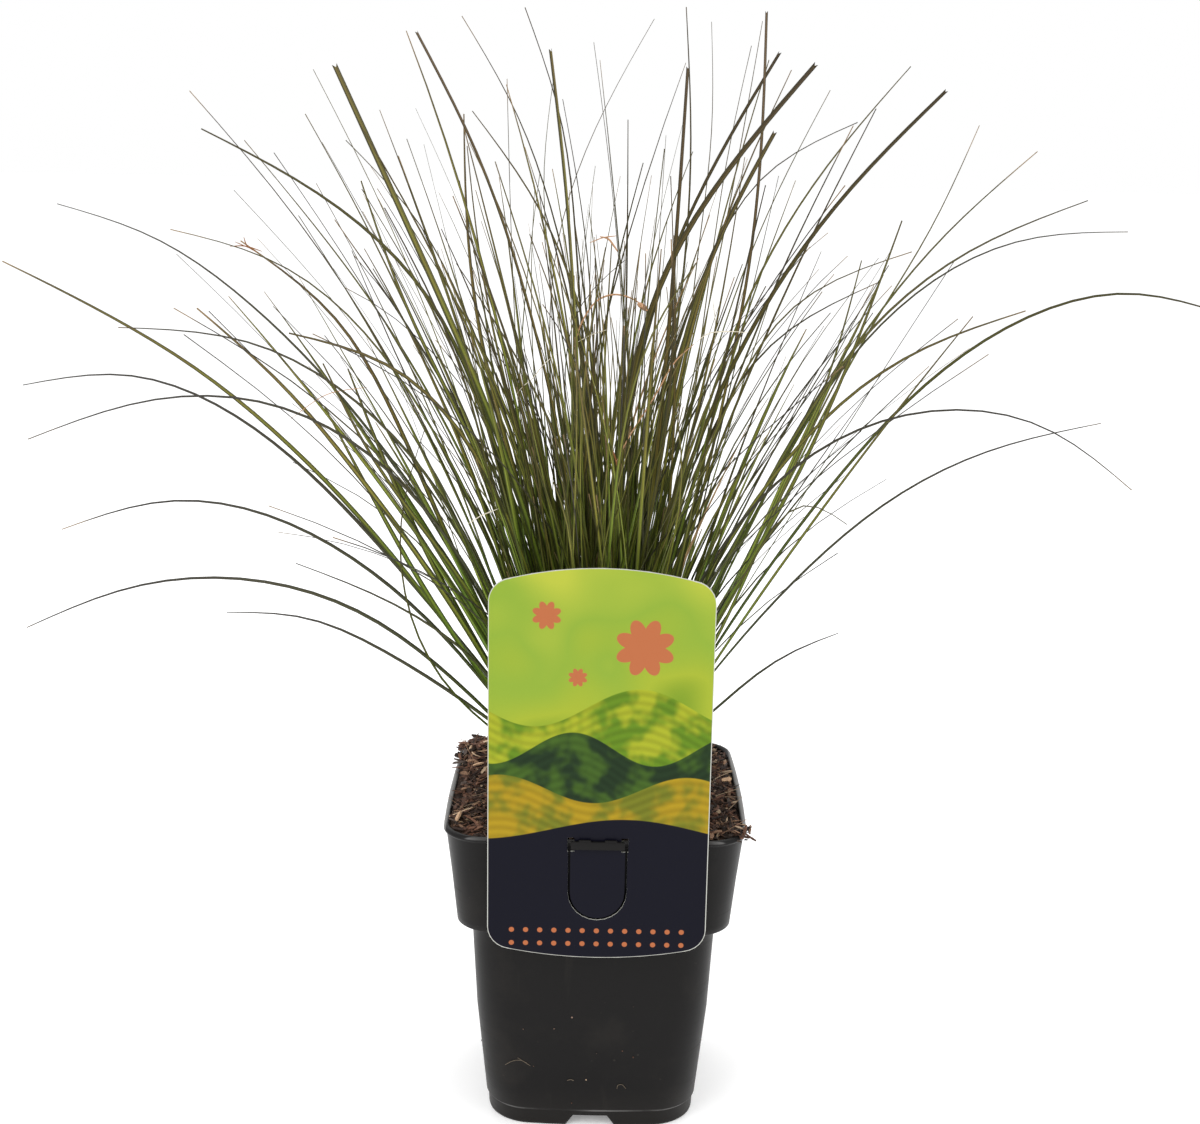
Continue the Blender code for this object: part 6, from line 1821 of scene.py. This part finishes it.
@dataclass
class Soil:
    """The soil: a lumpy bed that fills the pot, under bark shreds, crumbs and fibres.

    The lengths, widths and lifts of what lies on it are in millimetres, as (least, likely, most) or as
    (least, most).
    """

    rings: int = 60
    around: int = 56
    shreds: int = 3000
    shred_length: tuple = (2.0, 4.2, 10.0)
    shred_width: tuple = (0.35, 0.8, 2.0)
    crumbs: int = 800
    crumb_radius: tuple = (0.4, 1.5)
    crumb_lift: tuple = (-0.2, 0.9)
    fibres: int = 520
    fibre_length: tuple = (4.0, 9.0, 24.0)
    fibre_width: tuple = (0.12, 0.22, 0.42)
    fibre_lift: tuple = (0.3, 2.2)
    pale_share: float = 0.22
    pale_fibre: tuple = (0.36, 0.26, 0.17)
    pale_chip: tuple = (0.56, 0.36, 0.22)
    darkening_from: float = 20.0 * MM
    darkening_over: float = 14.0 * MM
    inset: float = WALL + 0.12 * MM
    edge: float = 120.7 * MM
    heap: tuple = (-39.0 * MM, 29.0 * MM)
    heap_rise: float = 5.5 * MM
    heap_width: float = 14.0 * MM
    heap_shreds: int = 260
    heap_spread: float = 10.0 * MM
    clump: tuple = (51.0 * MM, -45.0 * MM)
    clump_shreds: int = 46
    clump_spread: float = 2.3 * MM
    corner: float = 13.0 * MM

    def height(self, points: np.ndarray) -> np.ndarray:
        """The bed's height at (x, y): the crown's rise, the heap, and three sizes of smooth lumps."""
        x, y = points[:, 0], points[:, 1]
        crown = np.exp(-(x ** 2 + y ** 2) / (2 * SOIL_CROWN_WIDTH ** 2))
        off_heap = (x - self.heap[0]) ** 2 + (y - self.heap[1]) ** 2
        heap = np.exp(-off_heap / (2 * self.heap_width ** 2))
        flat = np.column_stack((x, y, np.zeros(len(x))))
        lumps = (0.8 * lattice_noise(flat, 9.0 * MM, 3) + 0.7 * lattice_noise(flat, 4.0 * MM, 4)
                 + 0.35 * lattice_noise(flat, 1.8 * MM, 5))
        return self.edge + 4.2 * MM * crown + self.heap_rise * heap + lumps * MM

    @staticmethod
    def tint(draw: np.random.Generator) -> np.ndarray:
        """Draw a shred's colour: mostly dark or reddish brown, seldom tan or straw."""
        browns = np.array(((0.028, 0.016, 0.012), (0.085, 0.044, 0.030), (0.155, 0.074, 0.046),
                           (0.075, 0.054, 0.044), (0.27, 0.155, 0.095), (0.50, 0.36, 0.24)))
        pick = draw.choice(len(browns), p=(0.27, 0.27, 0.19, 0.13, 0.10, 0.04))
        return browns[pick] * draw.uniform(0.75, 1.3)

    def darker_to_right(self, spot: np.ndarray) -> float:
        """How much darker the soil is at a place: it grows darker towards the right."""
        return 1.0 - 0.30 * float(np.clip((spot[0] - self.darkening_from) / self.darkening_over, 0.0, 1.0))

    def build(self) -> None:
        """Make the bed and strew it."""
        self.build_bed()
        self.build_shreds()
        self.build_crumbs()
        self.build_fibres()

    def build_bed(self) -> None:
        """Make the bed: square rings from the floor up the wall, then inwards over the lumpy top."""
        rings = []
        for half, corner, level in ((BODY_FOOT_HALF - 2 * WALL, 15.0, FLOOR_TOP + 0.3 * MM),
                                    (BODY_TOP_HALF, 12.5, COLLAR_FOOT - 1.5 * MM),
                                    (COLLAR_FOOT_HALF, 13.0, COLLAR_FOOT + 2.0 * MM)):
            rings.append(lifted(rounded_square(half - self.inset, corner * MM, self.around), level))
        edge = rounded_square(COLLAR_TOP_HALF - self.inset, 12.8 * MM, self.around)
        for share in np.linspace(1.0, 0.004, self.rings):
            ring = edge * share
            rings.append(lifted(ring, self.height(ring) - 0.6 * MM * np.exp((share - 1.0) * 30.0)))
        surface = Surface("looks")
        surface.add_tube(np.array(rings), looks=np.zeros(3))
        settle(surface.build("soil_bed", SoilFinish().material()), "soil")

    def spots(self, draw: np.random.Generator, count: int, reach: float) -> np.ndarray:
        """Draw places on the bed inside a rounded square.

        Args:
            draw: the random stream.
            count: how many.
            reach: half the square's width.

        Returns:
            The places as (x, y), one a row.
        """
        flat = draw.uniform(-reach, reach, (count * 2, 2))
        past = np.maximum(np.abs(flat) - (reach - self.corner), 0.0)
        return flat[np.hypot(past[:, 0], past[:, 1]) < self.corner][:count]

    def strip(self, draw: np.random.Generator, spot: np.ndarray, sizes: tuple, tilt: float,
              lift: float, sides: np.ndarray, pieces: int) -> np.ndarray:
        """Lay a bent strip on the bed: a small section carried along a shallow random curve.

        Args:
            draw: the random stream.
            spot: its middle as (x, y).
            sizes: its length and width.
            tilt: the spread of its slope, in radians.
            lift: how far its middle lies above the bed.
            sides: the section's points in half widths.
            pieces: how many straight pieces it has.

        Returns:
            The rings, as ring, place in the ring, coordinate.
        """
        length, width = sizes
        heading = draw.uniform(0.0, 2 * math.pi)
        slope = draw.normal(0.0, tilt)
        shares = np.linspace(-0.5, 0.5, pieces + 1)
        bend = draw.normal(0.0, 0.28)
        along = np.array((math.cos(heading), math.sin(heading)))
        beside = np.array((-along[1], along[0]))
        flat = spot + np.outer(shares * length, along) + np.outer((shares ** 2) * bend * length, beside)
        level = self.height(spot[None, :])[0] + lift
        arch = draw.normal(0.0, 0.10) * length * (shares ** 2 - 0.08)
        points = np.column_stack((flat, level + shares * length * math.sin(slope) + arch))
        side = np.array((beside[0], beside[1], draw.normal(0.0, 0.5)))
        across, up = path_frames(points, side / np.linalg.norm(side), np.zeros(len(points)))
        taper = 1 - draw.uniform(0.3, 0.9) * np.abs(shares * 2) ** 3
        jitter = draw.uniform(0.8, 1.2, len(points))
        return swept(points, across, up, width / 2 * taper * jitter, sides)

    def build_shreds(self) -> None:
        """Strew bark shreds over the bed, more on the heap and in a small clump over the right corner."""
        draw = np.random.default_rng(LOOKS_SEED + 1)
        surface = Surface("looks")
        reach = COLLAR_TOP_HALF - WALL - 0.8 * MM
        spots = self.spots(draw, self.shreds, reach)
        clump = np.array(self.clump) + draw.normal(0.0, self.clump_spread, (self.clump_shreds, 2))
        heap = np.array(self.heap) + draw.normal(0.0, self.heap_spread, (self.heap_shreds, 2))
        brim = COLLAR_TOP_HALF + 0.4 * MM
        clump = np.minimum(clump, (RIM_HALF + 0.8 * MM, 0.0))
        for number, spot in enumerate(np.vstack((spots, clump, np.clip(heap, -brim, brim)))):
            spread = number < len(spots)
            length = draw.triangular(*self.shred_length) * MM
            width = draw.triangular(*self.shred_width) * MM
            sides = slab(draw.uniform(0.25, 0.7))
            lift = draw.uniform(-0.2, 1.3 if spread else 2.4) * MM
            if np.abs(spot).max() > reach - 3.0 * MM:
                length = min(length, 5.0 * MM)
            rings = self.strip(draw, spot, (length, width), 0.24 if spread else 0.36, lift, sides, 4)
            surface.add_tube(rings, looks=self.tint(draw) * self.darker_to_right(spot))
        for x, y, long, wide in CHIPS:
            spot, size = np.array((x, y)) * MM, (long * MM, wide * MM)
            rings = self.strip(draw, spot, size, 0.2, 1.9 * MM, slab(0.25), 4)
            surface.add_tube(rings, looks=np.array(self.pale_chip))
        settle(surface.build("soil_shreds", ShredFinish().material(), smooth=False))

    def build_crumbs(self) -> None:
        """Strew crumbs between the shreds."""
        draw = np.random.default_rng(LOOKS_SEED + 2)
        surface = Surface("looks")
        spots = self.spots(draw, self.crumbs, COLLAR_TOP_HALF - WALL - 1.6 * MM)
        levels = self.height(spots)
        for spot, level in zip(spots, levels):
            radii = draw.uniform(*self.crumb_radius, 3) * MM
            centre = np.append(spot, level + draw.uniform(*self.crumb_lift) * MM)
            surface.add_tube(crumb(draw, centre, radii), looks=self.tint(draw) * self.darker_to_right(spot))
        finish = ShredFinish("soil_crumb_brown").material()
        settle(surface.build("soil_crumbs", finish, smooth=False))

    def build_fibres(self) -> None:
        """Strew fine fibres, some of them pale: near the wall only short ones, so that few pass the rim."""
        draw = np.random.default_rng(LOOKS_SEED + 3)
        surface = Surface("looks")
        sides = np.array(((-1.0, -0.6), (1.0, -0.6), (0.0, 1.0)))
        for spot in self.spots(draw, self.fibres, COLLAR_TOP_HALF - WALL - 2.0 * MM):
            length = draw.triangular(*self.fibre_length) * MM
            length = min(length, 2.2 * (RIM_HALF - np.abs(spot).max()) + 4.5 * MM)
            width = draw.triangular(*self.fibre_width) * MM
            lift = draw.uniform(*self.fibre_lift) * MM
            rings = self.strip(draw, spot, (length, width), 0.38, lift, sides, 7)
            pale = draw.random() < self.pale_share
            looks = np.array(self.pale_fibre) if pale else self.tint(draw) * 1.4 * self.darker_to_right(spot)
            surface.add_tube(rings, looks=looks)
        settle(surface.build("soil_fibres", ShredFinish("coir_fibres", 2600.0).material()))


@dataclass
class Card:
    """The plant card: the part's own solid with a print."""

    def build(self) -> None:
        """Dress the card's solid."""
        node = frame["nodes"]["label"]
        node.data.materials.clear()
        node.data.materials.append(CardFinish().material())
        LOG.info("label: dressed")


# A light's name, where it hangs, its width and its power in watts.
LIGHTS = (("key_light", (-1.1, -1.3, 1.5), 1.2, 14.0),
          ("fill_light", (1.5, -0.9, 0.9), 1.2, 6.0),
          ("top_light", (0.1, 0.5, 1.9), 1.4, 12.0))


@dataclass
class Studio:
    """The floor, the lights and the camera: the camera's angles are in degrees, its lens in millimetres."""

    floor_size: float = 60.0
    glow: float = 0.22
    aim: tuple = (0.0, 0.0, 0.18)
    eye: tuple = tuple(EYE)
    pitch: float = 13.2
    roll: float = 1.05
    lens: float = 51.0
    film: float = 36.0

    def build(self) -> None:
        """Set the studio up."""
        self.build_floor()
        self.build_lights()
        self.build_camera()
        LOG.info("studio: floor, lights and camera")

    def build_floor(self) -> None:
        """Lay a wide pale floor just under the pot."""
        half = self.floor_size / 2
        mesh = bpy.data.meshes.new("floor")
        corners = [(-half, -half, 0.0), (half, -half, 0.0), (half, half, 0.0), (-half, half, 0.0)]
        mesh.from_pydata(corners, [], [(0, 1, 2, 3)])
        graph = Graph("pale_floor")
        tint = graph.blend(graph.cloud(graph.place()[0], 3.0, 2.0), (0.86, 0.86, 0.86), (0.9, 0.9, 0.9))
        mesh.materials.append(graph.finish(Base_Color=tint, Roughness=0.9, Specular_IOR_Level=0.1,
                                           Emission_Color=(1.0, 1.0, 1.0), Emission_Strength=self.glow))
        floor = bpy.data.objects.new("floor", mesh)
        bpy.context.scene.collection.objects.link(floor)

    def build_lights(self) -> None:
        """Hang the soft lights under a white sky."""
        world = bpy.data.worlds.new("white_room")
        world.use_nodes = True
        sky = world.node_tree.nodes["Background"]
        sky.inputs["Color"].default_value = (1.0, 1.0, 1.0, 1.0)
        sky.inputs["Strength"].default_value = 1.0
        bpy.context.scene.world = world
        for name, place, size, power in LIGHTS:
            light = bpy.data.lights.new(name, "AREA")
            light.size = size
            light.energy = power
            lamp = bpy.data.objects.new(name, light)
            lamp.location = place
            lamp.rotation_euler = (Vector(self.aim) - Vector(place)).to_track_quat("-Z", "Y").to_euler()
            bpy.context.scene.collection.objects.link(lamp)

    def build_camera(self) -> None:
        """Put the camera at the picture's eye, looking down and rolled a little."""
        camera = bpy.data.cameras.new("camera")
        camera.lens = self.lens
        camera.sensor_width = self.film
        camera.sensor_fit = "HORIZONTAL"
        camera.clip_start = 0.01
        camera.clip_end = 100.0
        eye = bpy.data.objects.new("camera", camera)
        tilt = Matrix.Rotation(math.radians(90.0 - self.pitch), 4, "X")
        roll = Matrix.Rotation(math.radians(self.roll), 4, "Z")
        eye.matrix_world = Matrix.Translation(self.eye) @ tilt @ roll
        bpy.context.scene.collection.objects.link(eye)
        bpy.context.scene.camera = eye


def main() -> None:
    """Build the studio, then the pot, the soil, the card and the tuft."""
    logging.basicConfig(level=logging.INFO, format="%(name)s %(message)s")
    bpy.context.scene.view_settings.view_transform = "Standard"
    Studio().build()
    Pot().build()
    Soil().build()
    Card().build()
    Tuft().build()
    Threads().build()


if __name__ == "__main__":
    main()
